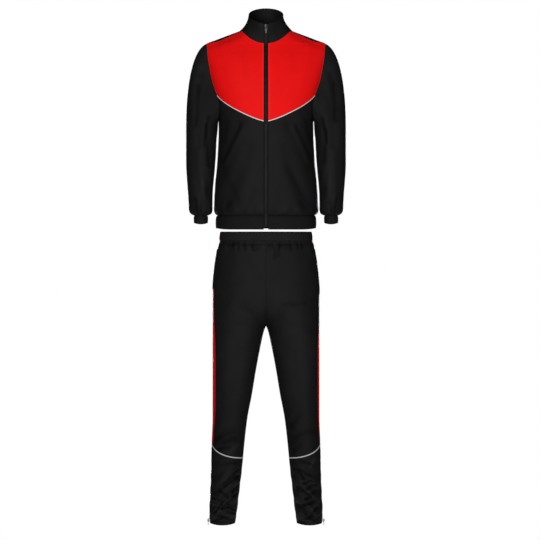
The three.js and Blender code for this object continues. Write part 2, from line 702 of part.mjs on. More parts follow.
function hemBand() {
  const power = 2 / BAND_ROUND;
  const points = HEM_BAND.map((ring) => {
    const start = Math.asin((ZIP_EDGE / ring.half) ** (BAND_ROUND / 2));
    return Array.from({ length: HEM_COLUMNS + 1 }, (_, j) => {
      const angle = lerp(start, 2 * Math.PI - start, j / HEM_COLUMNS);
      const depth = Math.cos(angle) > 0 ? ring.front : ring.back;
      return new THREE.Vector3(
        ring.half * signedPower(Math.sin(angle), power),
        -depth * signedPower(Math.cos(angle), power),
        ring.z,
      );
    });
  });
  const cells = gridCells(points, false, (p) => new THREE.Vector3(0, 0, p.z));
  return clothWall(cells, { thick: BAND_WALL, seams: ['start', 'end'] });
}

addPiece(jacket, 'hem_band', hemBand(), 'black');

// Front zip

// The front line that the zip follows, from the hem band over the body to the collar
const FRONT_LINE = [
  { z: ZIP_TOP_Z, y: -77.9 },
  { z: 0, y: -77.4 },
  { z: -25, y: -76.6 },
  { z: SHOULDER_Z, y: -75.5 },
  ...[-60, -80, -105, -140, -175, -215, -260, -312, -400, -500, -600, -625, -638].map((z) => (
    { z, y: -jacketFront(z) })),
  { z: -646, y: -122.7 },
  { z: -656, y: -125 },
  { z: -676, y: -126 },
  { z: -689, y: -125 },
];
const TAPE_INNER = CHAIN_HALF + 0.3;
const TAPE_OUTER = ZIP_EDGE - 0.3;

// A straight strip of the zip, carried along the front line
function zipStrip(line, low, high, proud, thick) {
  const points = line.map(({ z, y }) => (
    [low, high].map((x) => new THREE.Vector3(x, y - proud, z))));
  const cells = points.map((row) => row.map((p) => ({ p, n: new THREE.Vector3(0, -1, 0) })));
  return clothWall(cells, { thick, seams: [] });
}

const SLIDER_LOW_Z = 7;
const chainLine = [{ z: SLIDER_LOW_Z - 0.3, y: -77.6 }, ...FRONT_LINE.slice(1)];
addPiece(
  jacket,
  'zip_chain',
  zipStrip(chainLine, -CHAIN_HALF, CHAIN_HALF, CHAIN_PROUD, TAPE_THICK + CHAIN_PROUD),
  'chain',
);
for (const side of [LEFT, RIGHT]) {
  const edges = [side * TAPE_INNER, side * TAPE_OUTER].sort((a, b) => a - b);
  const tape = zipStrip(FRONT_LINE, edges[0], edges[1], 0, TAPE_THICK);
  addPiece(jacket, `zip_tape_${sideName(side)}`, tape, 'tape');
}

// A slider: a front plate with a bail, joined through the tapes' gap to a plate behind.
// It is drawn with the zip's face at y = 0, facing -Y, and its lower end at z = 0.
function extrude(outline, depth) {
  return new THREE.ExtrudeGeometry(outline, { depth, bevelEnabled: false, curveSegments: 6 });
}

function toSolid(geometry) {
  const { index, attributes } = mergedPoints(geometry);
  const vertProperties = Float32Array.from(attributes.position.array);
  const triVerts = Uint32Array.from(index.array);
  return new wasm.Manifold(new wasm.Mesh({ numProp: 3, vertProperties, triVerts }));
}

function fromSolid(solid) {
  const mesh = solid.getMesh();
  return closedGeometry(Array.from(mesh.vertProperties), Array.from(mesh.triVerts));
}

// Joins the points that lie together, so that the faces share them
function mergedPoints(geometry) {
  const source = geometry.index ? geometry.toNonIndexed() : geometry;
  const array = source.attributes.position.array;
  const known = new Map();
  const positions = [];
  const index = [];
  for (let k = 0; k < array.length; k += 3) {
    const key = `${array[k].toFixed(4)},${array[k + 1].toFixed(4)},${array[k + 2].toFixed(4)}`;
    if (!known.has(key)) {
      known.set(key, positions.length / 3);
      positions.push(array[k], array[k + 1], array[k + 2]);
    }
    index.push(known.get(key));
  }
  const merged = new THREE.BufferGeometry();
  merged.setAttribute('position', new THREE.Float32BufferAttribute(positions, 3));
  merged.setIndex(index);
  return merged;
}

function polygon(points) {
  return new THREE.Shape(points.map(([x, y]) => new THREE.Vector2(x, y)));
}

const SLIDER = { half: 5, plate: 2.4, clear: 0.45, web: 1.5, tall: 14, bailAt: 5.5 };
const BAIL = { half: 1.5, reach: 4.4, foot: 1.5, gap: 2.6, rise: 3.2 };
const AXLE_OUT = 1.45;

// The bail is an arch in the middle plane of the slider, over the pull's axle
function bailArch(faceY) {
  const outside = BAIL.gap + BAIL.foot;
  const arch = polygon([
    [0.6, -outside], [-BAIL.rise, -outside], [-BAIL.reach, -outside + 1.4],
    [-BAIL.reach, outside - 1.4], [-BAIL.rise, outside], [0.6, outside],
    [0.6, BAIL.gap], [-BAIL.rise + 0.5, BAIL.gap], [-BAIL.rise + 0.5, -BAIL.gap],
    [0.6, -BAIL.gap],
  ]);
  const geometry = extrude(arch, 2 * BAIL.half);
  geometry.rotateZ(Math.PI / 2);
  geometry.rotateY(Math.PI / 2);
  return geometry.translate(-BAIL.half, faceY, SLIDER.bailAt);
}

function sliderSolid(withBack) {
  const front = SLIDER.clear + SLIDER.plate;
  const slant = SLIDER.half - 1;
  const backY = TAPE_THICK + SLIDER.clear;
  const outline = withBack
    ? polygon([
      [-slant, -front], [slant, -front], [SLIDER.half, -front + 1], [SLIDER.half, -SLIDER.clear],
      [SLIDER.web, -SLIDER.clear], [SLIDER.web, backY], [SLIDER.half, backY],
      [SLIDER.half, backY + 1.4], [-SLIDER.half, backY + 1.4], [-SLIDER.half, backY],
      [-SLIDER.web, backY], [-SLIDER.web, -SLIDER.clear], [-SLIDER.half, -SLIDER.clear],
      [-SLIDER.half, -front + 1],
    ])
    : polygon([
      [-slant, -front], [slant, -front], [SLIDER.half, -front + 1],
      [SLIDER.half, -SLIDER.clear], [-SLIDER.half, -SLIDER.clear], [-SLIDER.half, -front + 1],
    ]);
  const body = extrude(outline, SLIDER.tall);
  return toSolid(body).add(toSolid(bailArch(-front)));
}

// The pull is a plate with a window, whose upper bar is the axle under the bail. It is
// drawn with the axle's middle line at y = 0, z = 0.
const PULL = { half: 4, tip: 3, bar: 0.85, window: 2.5, windowEnd: 6.2, thick: 1.6 };

function pullGeometry(length) {
  const outline = polygon([
    [-PULL.half, -PULL.bar * 2], [-PULL.half + 1, PULL.bar], [PULL.half - 1, PULL.bar],
    [PULL.half, -PULL.bar * 2], [PULL.half, -length * 0.55], [PULL.tip, -length + 1.5],
    [PULL.tip - 1.5, -length], [1.5 - PULL.tip, -length], [-PULL.tip, -length + 1.5],
    [-PULL.half, -length * 0.55],
  ]);
  const window = polygon([
    [-PULL.window, -PULL.bar], [-PULL.window, -PULL.windowEnd],
    [PULL.window, -PULL.windowEnd], [PULL.window, -PULL.bar],
  ]);
  outline.holes.push(window);
  const geometry = extrude(outline, PULL.thick);
  geometry.translate(0, 0, -PULL.thick / 2);
  return mergedPoints(geometry.rotateX(Math.PI / 2));
}

const SLIDER_FACE_Y = -77.75;
const MAIN_PULL_LENGTH = 24;
const frontSlider = addPiece(jacket, 'zip_slider', fromSolid(sliderSolid(true)), 'metal');
frontSlider.position.set(0, SLIDER_FACE_Y, SLIDER_LOW_Z);
const frontPull = addPiece(jacket, 'zip_pull', pullGeometry(MAIN_PULL_LENGTH), 'metal');
const pullOut = SLIDER.clear + SLIDER.plate + AXLE_OUT;
frontPull.position.set(0, SLIDER_FACE_Y - pullOut, SLIDER_LOW_Z + SLIDER.bailAt);

// Trousers

const legOuter = curve(LEG_RINGS, 'outer');
const legInner = curve(LEG_RINGS, 'inner');
const legFront = curve(LEG_RINGS, 'front');
const legBack = curve(LEG_RINGS, 'back');
const stripeFront = curve(STRIPE, 'front');
const stripeTuck = curve(STRIPE_TUCK, 'back');
const LEG_POWER = 2 / LEG_ROUND;

function legRing(z) {
  return {
    middle: (legOuter(z) + legInner(z)) / 2,
    half: (legOuter(z) - legInner(z)) / 2,
    centre: (legFront(z) + legBack(z)) / 2,
    depth: (legBack(z) - legFront(z)) / 2,
  };
}

// A point of the plain trousers: the angle is 0 on the side line, a quarter turn at the
// front, and half a turn on the inner side
function legPoint(side, z, angle) {
  const ring = legRing(z);
  return new THREE.Vector3(
    side * (ring.middle + ring.half * signedPower(Math.cos(angle), LEG_POWER)),
    ring.centre - ring.depth * signedPower(Math.sin(angle), LEG_POWER),
    z,
  );
}

// The slack zigzag of the cloth that stacks over the ankle, weaker on the leg's sides
function stackDepth(z, angle) {
  const into = clamp((STACK_TOP_Z - z) / 60, 0, 1) * clamp((z - TROUSER_END_Z) / 24, 0, 1);
  const slant = STACK_SLANT * Math.sin(2 * angle);
  const facing = 0.2 + 0.8 * Math.sin(angle) ** 2;
  return STACK_DEPTH * into * facing * Math.cos(((z - STACK_TOP_Z) / STACK_PITCH + slant) * 2 * Math.PI);
}

function legCell(side, z, angle) {
  const ring = legRing(z);
  const surface = (height, turn) => legPoint(side, height, turn);
  const middle = new THREE.Vector3(side * ring.middle, ring.centre, z);
  const normal = surfaceNormal(surface, z, angle, middle);
  const point = legPoint(side, z, angle);
  const turn = Math.atan2(point.x, -point.y) / (2 * Math.PI);
  const wave = gatherWave(WAIST_GATHERS, turn, WAIST_SEAM_Z - z);
  const fold = foldDepth(LEG_FOLDS, side, point, normal);
  point.addScaledVector(normal, wave - fold + stackDepth(z, angle));
  return { p: point, n: normal };
}

// The angle where the ring meets the middle of the trousers, or the inner leg seam
function innerAngle(z) {
  const ring = legRing(z);
  if (ring.middle >= ring.half) return Math.PI;
  const part = Math.max(ring.middle, 0) / ring.half;
  return Math.PI - Math.acos(part ** (LEG_ROUND / 2));
}

// The angle at which the ring lies a given distance before or behind the side line
function angleBeside(z, distance) {
  const part = Math.abs(distance) / legRing(z).depth;
  return Math.sign(distance) * Math.asin(part ** (LEG_ROUND / 2));
}

const stripeEdge = (side, z) => (
  angleBeside(z, stripeFront(z) - (side === RIGHT ? stripeTuck(z) : 0)));
const backEdge = (z) => angleBeside(z, -SIDE_BACK);
const zipEdge = (z) => angleBeside(z, SIDE_BACK);
const pocketEdge = (z) => angleBeside(z, POCKET_BACK);

// The seam below the knee falls from the side to the inner leg
function pipeZ(angle) {
  const across = (1 + signedPower(Math.cos(angle), LEG_POWER)) / 2;
  return lerp(PIPE_INNER_Z, PIPE_OUTER_Z, across ** 3.3);
}

const LEG_COLUMNS = 9;
const UPPER_LEG_ROWS = [
  -737.2, -749, -766, -800, -850, -895, -935, -965, -992, -1012, -1026, -1034, -1048,
  -1085, -1150, -1230, -1310, -1375, -1425,
];
const LOWER_LEG_ROWS = [
  -1498, -1517, -1535, -1553, -1571, -1589, -1607, -1625, -1643, -1661, -1679, -1699,
  TROUSER_END_Z,
];

// Evenly spaced steps from one value to another
const spread = (from, to, count) => (
  Array.from({ length: count + 1 }, (_, j) => lerp(from, to, j / count)));

// The angles of the points on the piping's line, from the back of the side panel round the
// front to the inner leg; the panels above and below it start or end on the same points.
const STRIPE_COLUMNS = 3;
const PIPE_ANGLES = (() => {
  const zip = zipEdge(PIPE_OUTER_Z);
  const stripe = stripeEdge(LEFT, PIPE_OUTER_Z);
  const front = spread(stripe, Math.PI, LEG_COLUMNS);
  return [backEdge(PIPE_OUTER_Z), zip, (zip + stripe) / 2, ...front];
})();
const STRIPE_PIPE = PIPE_ANGLES.slice(0, STRIPE_COLUMNS + 1);
const FRONT_PIPE = PIPE_ANGLES.slice(STRIPE_COLUMNS);
const LOWER_PIPE = PIPE_ANGLES.slice(1);

// A row of cells at one height, and one that lies part of the way to the piping's line
function levelRow(side, z, angles) {
  return angles.map((angle) => legCell(side, z, angle));
}

function rowToPipe(side, z, angles, pipeAngles, lift, share) {
  return angles.map((angle, j) => {
    const target = pipeZ(pipeAngles[j]) + lift;
    return legCell(side, lerp(z, target, share), lerp(angle, pipeAngles[j], share));
  });
}

function frontLeg(side) {
  const angles = (z) => spread(stripeEdge(side, z), innerAngle(z), LEG_COLUMNS);
  const rows = UPPER_LEG_ROWS.map((z) => levelRow(side, z, angles(z)));
  const last = UPPER_LEG_ROWS[UPPER_LEG_ROWS.length - 1];
  for (const share of [0.5, 1]) {
    rows.push(rowToPipe(side, last, angles(last), FRONT_PIPE, PIPE_TALL / 2, share));
  }
  return clothWall(rows, {});
}

function backLeg(side) {
  const rows = [...UPPER_LEG_ROWS, -1460, ...LOWER_LEG_ROWS].map((z) => (
    levelRow(side, z, spread(backEdge(z), -innerAngle(z), LEG_COLUMNS))));
  return clothWall(rows, {});
}

function lowerLeg(side) {
  const first = LOWER_PIPE[0];
  const angles = (z) => LOWER_PIPE.map((angle) => {
    const share = (angle - first) / (Math.PI - first);
    return lerp(zipEdge(z), Math.PI, share);
  });
  const low = LOWER_LEG_ROWS[0];
  const rows = [1, 0.5].map((share) => (
    rowToPipe(side, low, angles(low), LOWER_PIPE, -PIPE_TALL / 2, share)));
  for (const z of LOWER_LEG_ROWS) rows.push(levelRow(side, z, angles(z)));
  return clothWall(rows, {});
}

// The light piping round the front of the calf, from the side seam to the inner leg seam
function calfPiping(side) {
  const rows = [PIPE_TALL / 2, 0, -PIPE_TALL / 2].map((lift) => {
    const row = rowToPipe(side, 0, PIPE_ANGLES, PIPE_ANGLES, lift, 1);
    const proud = lift === 0 ? PIPE_PROUD : 0;
    return row.map((cell) => ({ p: cell.p.addScaledVector(cell.n, proud), n: cell.n }));
  });
  return clothWall(rows, {});
}

function sideStripe(side) {
  const angles = (z) => spread(backEdge(z), stripeEdge(side, z), STRIPE_COLUMNS);
  const rows = UPPER_LEG_ROWS.map((z) => levelRow(side, z, angles(z)));
  const last = UPPER_LEG_ROWS[UPPER_LEG_ROWS.length - 1];
  for (const share of [0.5, 1]) {
    rows.push(rowToPipe(side, last, angles(last), STRIPE_PIPE, PIPE_TALL / 2, share));
  }
  return clothWall(rows, {});
}

// The pocket's welt lies over the side panel, from the front panel's edge to the mouth of
// the pocket behind it. Its inside keeps a seam's gap from the panel.
const WELT_ROWS = [POCKET_TOP_Z, -783, -800, -825, -850, -872, -895, POCKET_END_Z];
const WELT_COLUMNS = 3;
const WELT_THICK = 1.2;
function pocketWelt(side) {
  const rows = WELT_ROWS.map((z) => {
    const row = levelRow(side, z, spread(pocketEdge(z), stripeEdge(side, z), WELT_COLUMNS));
    return row.map((cell) => (
      { p: cell.p.addScaledVector(cell.n, SEAM_GAP + WELT_THICK), n: cell.n }));
  });
  return clothWall(rows, { thick: WELT_THICK, seams: [] });
}

// The ankle zip lies in the side seam: two tapes with the closed chain between them, as
// one strip whose middle stands proud
const ANKLE_ZIP = { top: -1458, low: -1719, tape: 6.5, chain: 2.2 };
function ankleZip(side) {
  const across = [-ANKLE_ZIP.tape, -ANKLE_ZIP.chain - 0.4, -ANKLE_ZIP.chain, ANKLE_ZIP.chain,
    ANKLE_ZIP.chain + 0.4, ANKLE_ZIP.tape];
  const inside = LOWER_LEG_ROWS.filter((z) => z < ANKLE_ZIP.top && z > ANKLE_ZIP.low);
  const rows = [ANKLE_ZIP.top, ...inside, ANKLE_ZIP.low].map((z) => across.map((distance) => {
    const cell = legCell(side, z, angleBeside(z, distance));
    const proud = Math.abs(distance) <= ANKLE_ZIP.chain ? CHAIN_PROUD : 0;
    return { p: cell.p.addScaledVector(cell.n, proud), n: cell.n };
  }));
  return clothWall(rows, { thick: TAPE_THICK, seams: [] });
}

const ANKLE_SLIDER_Z = -1719;
const ANKLE_SLIDER_TOP_Z = ANKLE_SLIDER_Z + SLIDER.tall;
const ANKLE_PULL_LENGTH = 18;
const ankleMiddleY = legRing(ANKLE_SLIDER_Z).centre;

const WAIST_COLUMNS = 32;
const waistband = closedBand(WAIST_BAND, WAIST_COLUMNS, { x: 0, y: 0 }, LEG_ROUND);
addPiece(trousers, 'waistband', waistband, 'black');

for (const side of [LEFT, RIGHT]) {
  const name = sideName(side);
  addPiece(trousers, `trouser_front_${name}`, frontLeg(side), 'black');
  addPiece(trousers, `trouser_back_${name}`, backLeg(side), 'black');
  addPiece(trousers, `lower_leg_${name}`, lowerLeg(side), 'black');
  addPiece(trousers, `calf_piping_${name}`, calfPiping(side), 'piping');
  addPiece(trousers, `side_stripe_${name}`, sideStripe(side), 'red');
  addPiece(trousers, `pocket_welt_${name}`, pocketWelt(side), 'black');
  addPiece(trousers, `ankle_zip_${name}`, ankleZip(side), 'tape');
  const faceX = legOuter(ANKLE_SLIDER_TOP_Z) + CHAIN_PROUD;
  const slider = addPiece(trousers, `ankle_slider_${name}`, fromSolid(sliderSolid(false)), 'metal');
  slider.rotation.z = side * QUARTER;
  slider.position.set(side * faceX, ankleMiddleY, ANKLE_SLIDER_Z);
  const pull = addPiece(trousers, `ankle_pull_${name}`, pullGeometry(ANKLE_PULL_LENGTH), 'metal');
  pull.rotation.z = side * QUARTER;
  pull.position.set(side * (faceX + pullOut), ankleMiddleY, ANKLE_SLIDER_Z + SLIDER.bailAt);
}

export default tracksuit;
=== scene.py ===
"""A zipped track jacket and its trousers, filled out as they are worn.

Lengths in the tables are millimetres, and every mesh is written in metres. The front faces
-Y and +X lies on the right of somebody who looks at the front. Each cloth surface is a
function of height and angle on a grid, and creases, gathers and rounded seam edges move its
points along their normals.
"""

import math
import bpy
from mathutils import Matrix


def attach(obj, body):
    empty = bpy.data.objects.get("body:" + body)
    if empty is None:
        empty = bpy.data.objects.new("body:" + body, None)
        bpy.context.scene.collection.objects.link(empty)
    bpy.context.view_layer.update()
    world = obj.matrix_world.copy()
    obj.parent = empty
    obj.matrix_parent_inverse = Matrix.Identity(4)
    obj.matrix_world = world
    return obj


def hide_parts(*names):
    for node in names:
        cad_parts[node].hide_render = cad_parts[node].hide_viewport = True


bl_info = {
    "name": "Tracksuit",
    "version": (1, 0, 0),
    "blender": (4, 5, 0),
    "location": "View3D > Sidebar > Tracksuit",
    "description": "Builds a zipped track jacket and trousers round their packed solids",
    "category": "Add Mesh",
}

from types import SimpleNamespace

import bmesh
import bpy
import numpy as np
from bpy.props import FloatProperty, FloatVectorProperty, PointerProperty
from mathutils import Vector

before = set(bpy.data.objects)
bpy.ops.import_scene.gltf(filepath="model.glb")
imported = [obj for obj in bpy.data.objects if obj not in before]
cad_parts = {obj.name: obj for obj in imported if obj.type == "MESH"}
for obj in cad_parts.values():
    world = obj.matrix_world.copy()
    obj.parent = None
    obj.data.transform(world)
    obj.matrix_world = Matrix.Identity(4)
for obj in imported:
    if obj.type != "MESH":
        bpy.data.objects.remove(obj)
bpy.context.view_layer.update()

MM = 0.001
QUARTER = math.pi / 2
TURN = 2 * math.pi
LEFT = -1
RIGHT = 1
SIDES = ((LEFT, "right"), (RIGHT, "left"))

WALL = 2.0
BAND_WALL = 2.6
SEAM_GAP = 0.3
MIDDLE_NEAR = 0.2
# The cloth's edges meet more closely than the solids do, so that no light shows through
SEWN_GAP = 0.06
# The distances from an edge of the two close rows that round it
NEAR_EDGE = (0.35, 1.0)

SHOULDER_Z = -46
UNDERARM_Z = -312
BODY_END_Z = -646
CHEVRON_MIDDLE_Z = -318
CHEVRON_SIDE_Z = -235
CHEVRON_HOOK = 6
NECK_HALF = 87.5
NECK_RISE = 45
NECK_POWER = 2.2
SEAM_FORWARD = 27
SEAM_TURN = 6
BAND_ROUND = 2.25
SLEEVE_ROUND = 2.1
SLEEVE_TOP_Z = -340
SLEEVE_END_Z = -647.5
CUFF_MIDDLE = (227.75, -20)

ZIP_EDGE = 8
ZIP_TOP_Z = 21
TAPE_THICK = 1.2
CHAIN_HALF = 2.2
ZIP_LOW_Z = -689
FRONT_TEETH_Z = (5.8, -688)
FRONT_TOOTH_TALL = 0.9
SLIDER_BEVEL = 0.0005
PULL_BEVEL = 0.00035

WAIST_SEAM_Z = -737
TROUSER_END_Z = -1724
LEG_ROUND = 2.15
PIPE_OUTER_Z = -1448
PIPE_INNER_Z = -1495
PIPE_TALL = 3.9
PIPE_HALF = 1.44
PIPE_HOOK = 0.3
POCKET_TOP_Z = -765
POCKET_BACK = 8
WELT_OVER = 4
SIDE_BACK = 7
ANKLE_ZIP_TOP_Z = -1458
ANKLE_ZIP_LOW_Z = -1719
ANKLE_TAPE_HALF = 6.5
ANKLE_TEETH_Z = (-1460, -1704)
ANKLE_TEETH_PROUD = 0.2
ANKLE_TOOTH_TALL = 0.8

# Values that shape the cloth and paint shade into its colour. A painted shade darkens the
# cloth where it is above 0, and lightens it as a painted highlight below 0
STACK_CREASE_STRENGTH = 1.3
BACK_SHIFT_X = -5
BACK_SHIFT_Z = 13
STACK_TOP_Z = -1500
STACK_PITCH = 54
STACK_DEPTH = 3
STACK_SLANT = 0.55
STACK_SIDE = 0.2
STACK_RISE = 60
STACK_FALL = 24
HEM_FADE = 10
HEM_DIP = 7
HEM_DIP_Z = -1560
HEM_BAND_DIP = 4.5
HEM_FRONT = 3
HEM_SIDE_LIFT = 1.3
CUFF_DIP = 4
CUFF_LEVEL = 0.4
# The ribs' share of the set depth, and their number round the band
CUFF_RIBS = (1, 22)
HEM_RIBS = (0.6, 70)
WAIST_RIBS = (1.6, 84)
# The right welt ends a little higher in the photo than the left one
WELT_END_Z = {LEFT: -906, RIGHT: -924}
WELT_THICK = 1.2
WAIST_TOP_Z = -737.2
WAIST_END_REACH = 0.12
WAIST_END_LIFT = 1.7
WAIST_END_SHADE = 1.5
# Creases fade round the sides, and those wider than SHARP_HALF shade the cloth less
FACE_GAIN = 1.6
SHARP_HALF = 8
SHARP_POWER = 1.5
GATHER_SHADE = 0.9
STACK_SHADE = 0.25
# Painted shade that grows down the legs below SLACK_TOP_Z
SLACK_SHADE = 2.3
SLACK_TOP_Z = -1140
SLACK_FADE = 280
# Painted shade on the side panel beside its front edge, and its reach as a share of the panel
STRIPE_SHADE = 3.2
STRIPE_SHADE_SHARE = 0.2
# The painted highlight along the yoke's edges, and its width as a share of the yoke's width
EDGE_HIGHLIGHT = 1.8
EDGE_SHARE = 0.02
# Columns of the yoke's grid about 2 mm from its edges, where it is sewn
YOKE_STITCH_COLUMNS = (2, -3)
WAIST_STITCH_ROWS = (5, 9)
HEM_STITCH_UP = 22.0
THREAD_PROUD = 0.15
RED_THREAD_PROUD = 0.1


def table(columns, text):
    """Rows of numbers under their column names, as {name: array}."""
    names = columns.split()
    values = np.array(text.split(), dtype=float).reshape(-1, len(names))
    return dict(zip(names, values.T))


def lerp(a, b, share):
    """From a to b by a share."""
    return a + (b - a) * share


def clamp(value, low=0.0, high=1.0):
    """The value, no lower than low and no higher than high."""
    return np.clip(value, low, high)


def curve(rows, key):
    """A smooth curve through a table's column over its falling z, without overshoot: a cubic
    whose tangents are the harmonic mean of the slopes beside each row."""
    t = -rows["z"]
    v = rows[key]
    slope = np.diff(v) / np.diff(t)
    product = slope[:-1] * slope[1:]
    total = np.where(product > 0, slope[:-1] + slope[1:], 1.0)
    inside = np.where(product > 0, 2 * product / total, 0.0)
    tangent = np.concatenate([slope[:1], inside, slope[-1:]])

    def at(z):
        x = clamp(-np.asarray(z, dtype=float), t[0], t[-1])
        i = clamp(np.searchsorted(t, x) - 1, 0, len(t) - 2).astype(int)
        span = t[i + 1] - t[i]
        s = (x - t[i]) / span
        keep = (1 + 2 * s) * (1 - s) ** 2
        leave = s * (1 - s) ** 2 * span
        arrive = s * s * (s - 1) * span
        return keep * v[i] + leave * tangent[i] + (1 - keep) * v[i + 1] + arrive * tangent[i + 1]

    return at


def curves(columns, text):
    """A table whose columns are smooth curves over z, by their names."""
    rows = table(columns, text)
    return SimpleNamespace(**{key: curve(rows, key) for key in rows if key != "z"})


JACKET = curves("z half front back round", """
8 66 57 57 2.1
0 87.5 62 62 2.1
-10 114 66 67 1.9
-20 141 69 72 1.75
-33 175 72 78 1.65
-46 208 75.5 84 1.6
-60 217 80 90 1.7
-90 214 92 100 1.95
-120 208 102 107 2.12
-155 200 111 112 2.22
-192 189 118 115 2.25
-218 182 122 116 2.25
-250 175 126 116 2.25
-285 169 128 115 2.25
-312 166 129 114 2.25
-360 166.5 130 112 2.25
-420 169 130 110 2.25
-480 173 130 110 2.25
-540 179 131 114 2.25
-590 182 132 118 2.25
-625 182.5 132 119 2.25
-638 180 129 117 2.25
-646 173 123 111 2.25
-655 162 113 101 2.25
""")
ARMHOLE = curves("z front back", """
-46 208 208
-75 205.5 205
-105 202 200
-140 196 193
-175 189 184
-208 178 175
-229 170.5 169.5
-262 163.5 161
-286 162 158.5
-302 163.5 160.5
-312 166 166
""")
SLEEVE = curves("z outer inner front back", """
-340 280 168.4 -72 66
-360 280 170 -72 64
-380 280 172 -72 62
-420 280 174 -72 58
-460 280 176.5 -72 53
-500 278.5 180 -72 48
-540 275.5 184 -72 43
-580 272.5 186.5 -72 38
-612 270.5 187 -71 34
-630 268.5 187.5 -68 31
-641 263.5 191 -62 23
-647.5 252.5 203 -54 14
""")
# The bands start inside the cloth that is gathered on them
HEM_BAND = table("z half front back", """
-638 166 116 104
-646 170 120 108
-651 174 123.8 111.8
-660 176 125.5 113.5
-674 176.5 126 114
-689 175.5 125 113
-693 173.5 123 111
""")
CUFF_BAND = table("z half front back", """
-641 20.5 29.5 29.5
-647.2 22.4 31.6 31.6
-651 24.6 34 34
-655 25.2 34.6 34.6
-668 24.8 34.3 34.3
-676 23.4 33 33
""")
WAIST_BAND = table("z half front back", """
-703.5 158.5 107 103
-712 160.5 109 105
-728 162 110.4 106.4
-734 161.5 109.5 105.6
-737.5 159.8 107.2 104.2
-744 156.5 104 101
""")
LEG = curves("z outer inner front back", """
-728 162 -162 -109 106
-737 163 -163 -110 107
-750 167 -167 -113 112
-768 171.5 -171.5 -116 118
-800 177 -177 -120 126
-830 181 -180 -122 132
-870 185 -172 -124 137
-910 187 -140 -123 139
-945 187 -100 -122 139
-975 187 -60 -120 136
-1000 187 -30 -117 132
-1020 187 -10 -114 128
-1034 187 0 -112 124
-1048 187 6 -111 120
-1104 187 19 -105 107
-1188 187 35 -98 94
-1272 187 49 -90 82
-1356 187 65 -82 72
-1440 190 75 -74 68
-1524 191 83 -66 68
-1608 194 93 -60 64
-1692 197.5 103 -56 58
-1724 196.5 108 -55 57
-1740 196 110 -54 56
""")
STRIPE = curves("z front", """
-728 17
-752 20
-790 36
-930 36
-1100 54
-1300 49
-1400 36
-1460 25
""")
# How far the left leg's front panel swings back over the side panel below the pocket
STRIPE_TUCK = curves("z back", """
-885 0
-918 26
-1010 27
-1100 12
-1300 12
-1400 8
-1460 2
""")
FRONT_LINE = curves("z y", """
21 -77.9
0 -77.4
-25 -76.6
-46 -75.5
-60 -80
-90 -92
-120 -102
-155 -111
-192 -118
-218 -122
-250 -126
-285 -128
-312 -129
-360 -130
-480 -130
-540 -131
-590 -132
-625 -132
-638 -129
-646 -122.7
-656 -125
-676 -126
-689 -125
""")

# Creases are soft troughs, or ridges where the depth is negative, along a line in the front
# view. Side is -1 or 1 for one half and 0 for both, and face is -1 for the front.
CREASE_COLUMNS = "side face x1 z1 x2 z2 half depth"
JACKET_CREASES = table(CREASE_COLUMNS, """
-1 -1 96 -330 150 -470 24 5
1 -1 84 -330 160 -470 24 5
-1 -1 60 -420 140 -600 26 4
1 -1 70 -400 130 -590 26 4
-1 1 60 -180 140 -300 28 5
1 1 66 -170 142 -310 28 5
-1 1 40 -430 150 -560 26 5
1 1 30 -450 146 -580 26 5
-1 -1 92 -330 154 -455 7 2.2
-1 -1 78 -338 142 -468 9 -2
-1 -1 138 -322 150 -392 8 1.6
1 -1 108 -334 164 -452 7 2.2
1 -1 94 -336 150 -462 9 -2
1 -1 142 -318 160 -400 8 1.6
-1 -1 150 -500 96 -610 14 2
1 -1 74 -470 152 -612 14 2.4
-1 -1 40 -560 74 -638 9 1.4
1 -1 36 -570 60 -638 9 1.2
-1 -1 128 -600 156 -640 8 1.8
1 -1 124 -602 150 -640 8 1.8
0 -1 92 -20 206 -64 8 1.1
0 -1 128 -40 132 -52 5 0.5
0 -1 160 -48 166 -62 5 0.5
-1 -1 84 -84 70 -150 12 0.5
1 -1 94 -84 104 -140 12 0.5
-1 -1 150 -120 130 -200 14 0.5
1 -1 154 -110 140 -190 14 0.5
-1 1 96 -320 152 -420 9 2.4
1 1 84 -330 150 -440 9 2.4
0 1 120 -90 150 -190 12 2
-1 1 70 -590 120 -636 10 2
1 1 40 -600 96 -640 10 2
""")
SLEEVE_CREASES = table(CREASE_COLUMNS, """
0 -1 226 -150 238 -400 18 5
0 -1 202 -560 232 -640 16 4
0 1 214 -200 236 -430 20 5
0 1 244 -470 206 -600 18 5
-1 -1 238 -190 250 -330 9 3.2
1 -1 240 -180 246 -310 9 3.2
-1 -1 206 -330 198 -470 9 3.0
1 -1 204 -350 200 -460 9 3.0
-1 -1 196 -300 214 -400 7 2.7
1 -1 194 -310 210 -390 7 2.7
-1 -1 250 -420 240 -560 12 2
1 -1 248 -430 254 -570 12 2
0 -1 250 -590 240 -640 8 2.7
0 -1 222 -520 212 -590 9 -2.4
0 1 226 -330 244 -420 8 3.2
0 1 200 -540 236 -620 9 3.2
""")
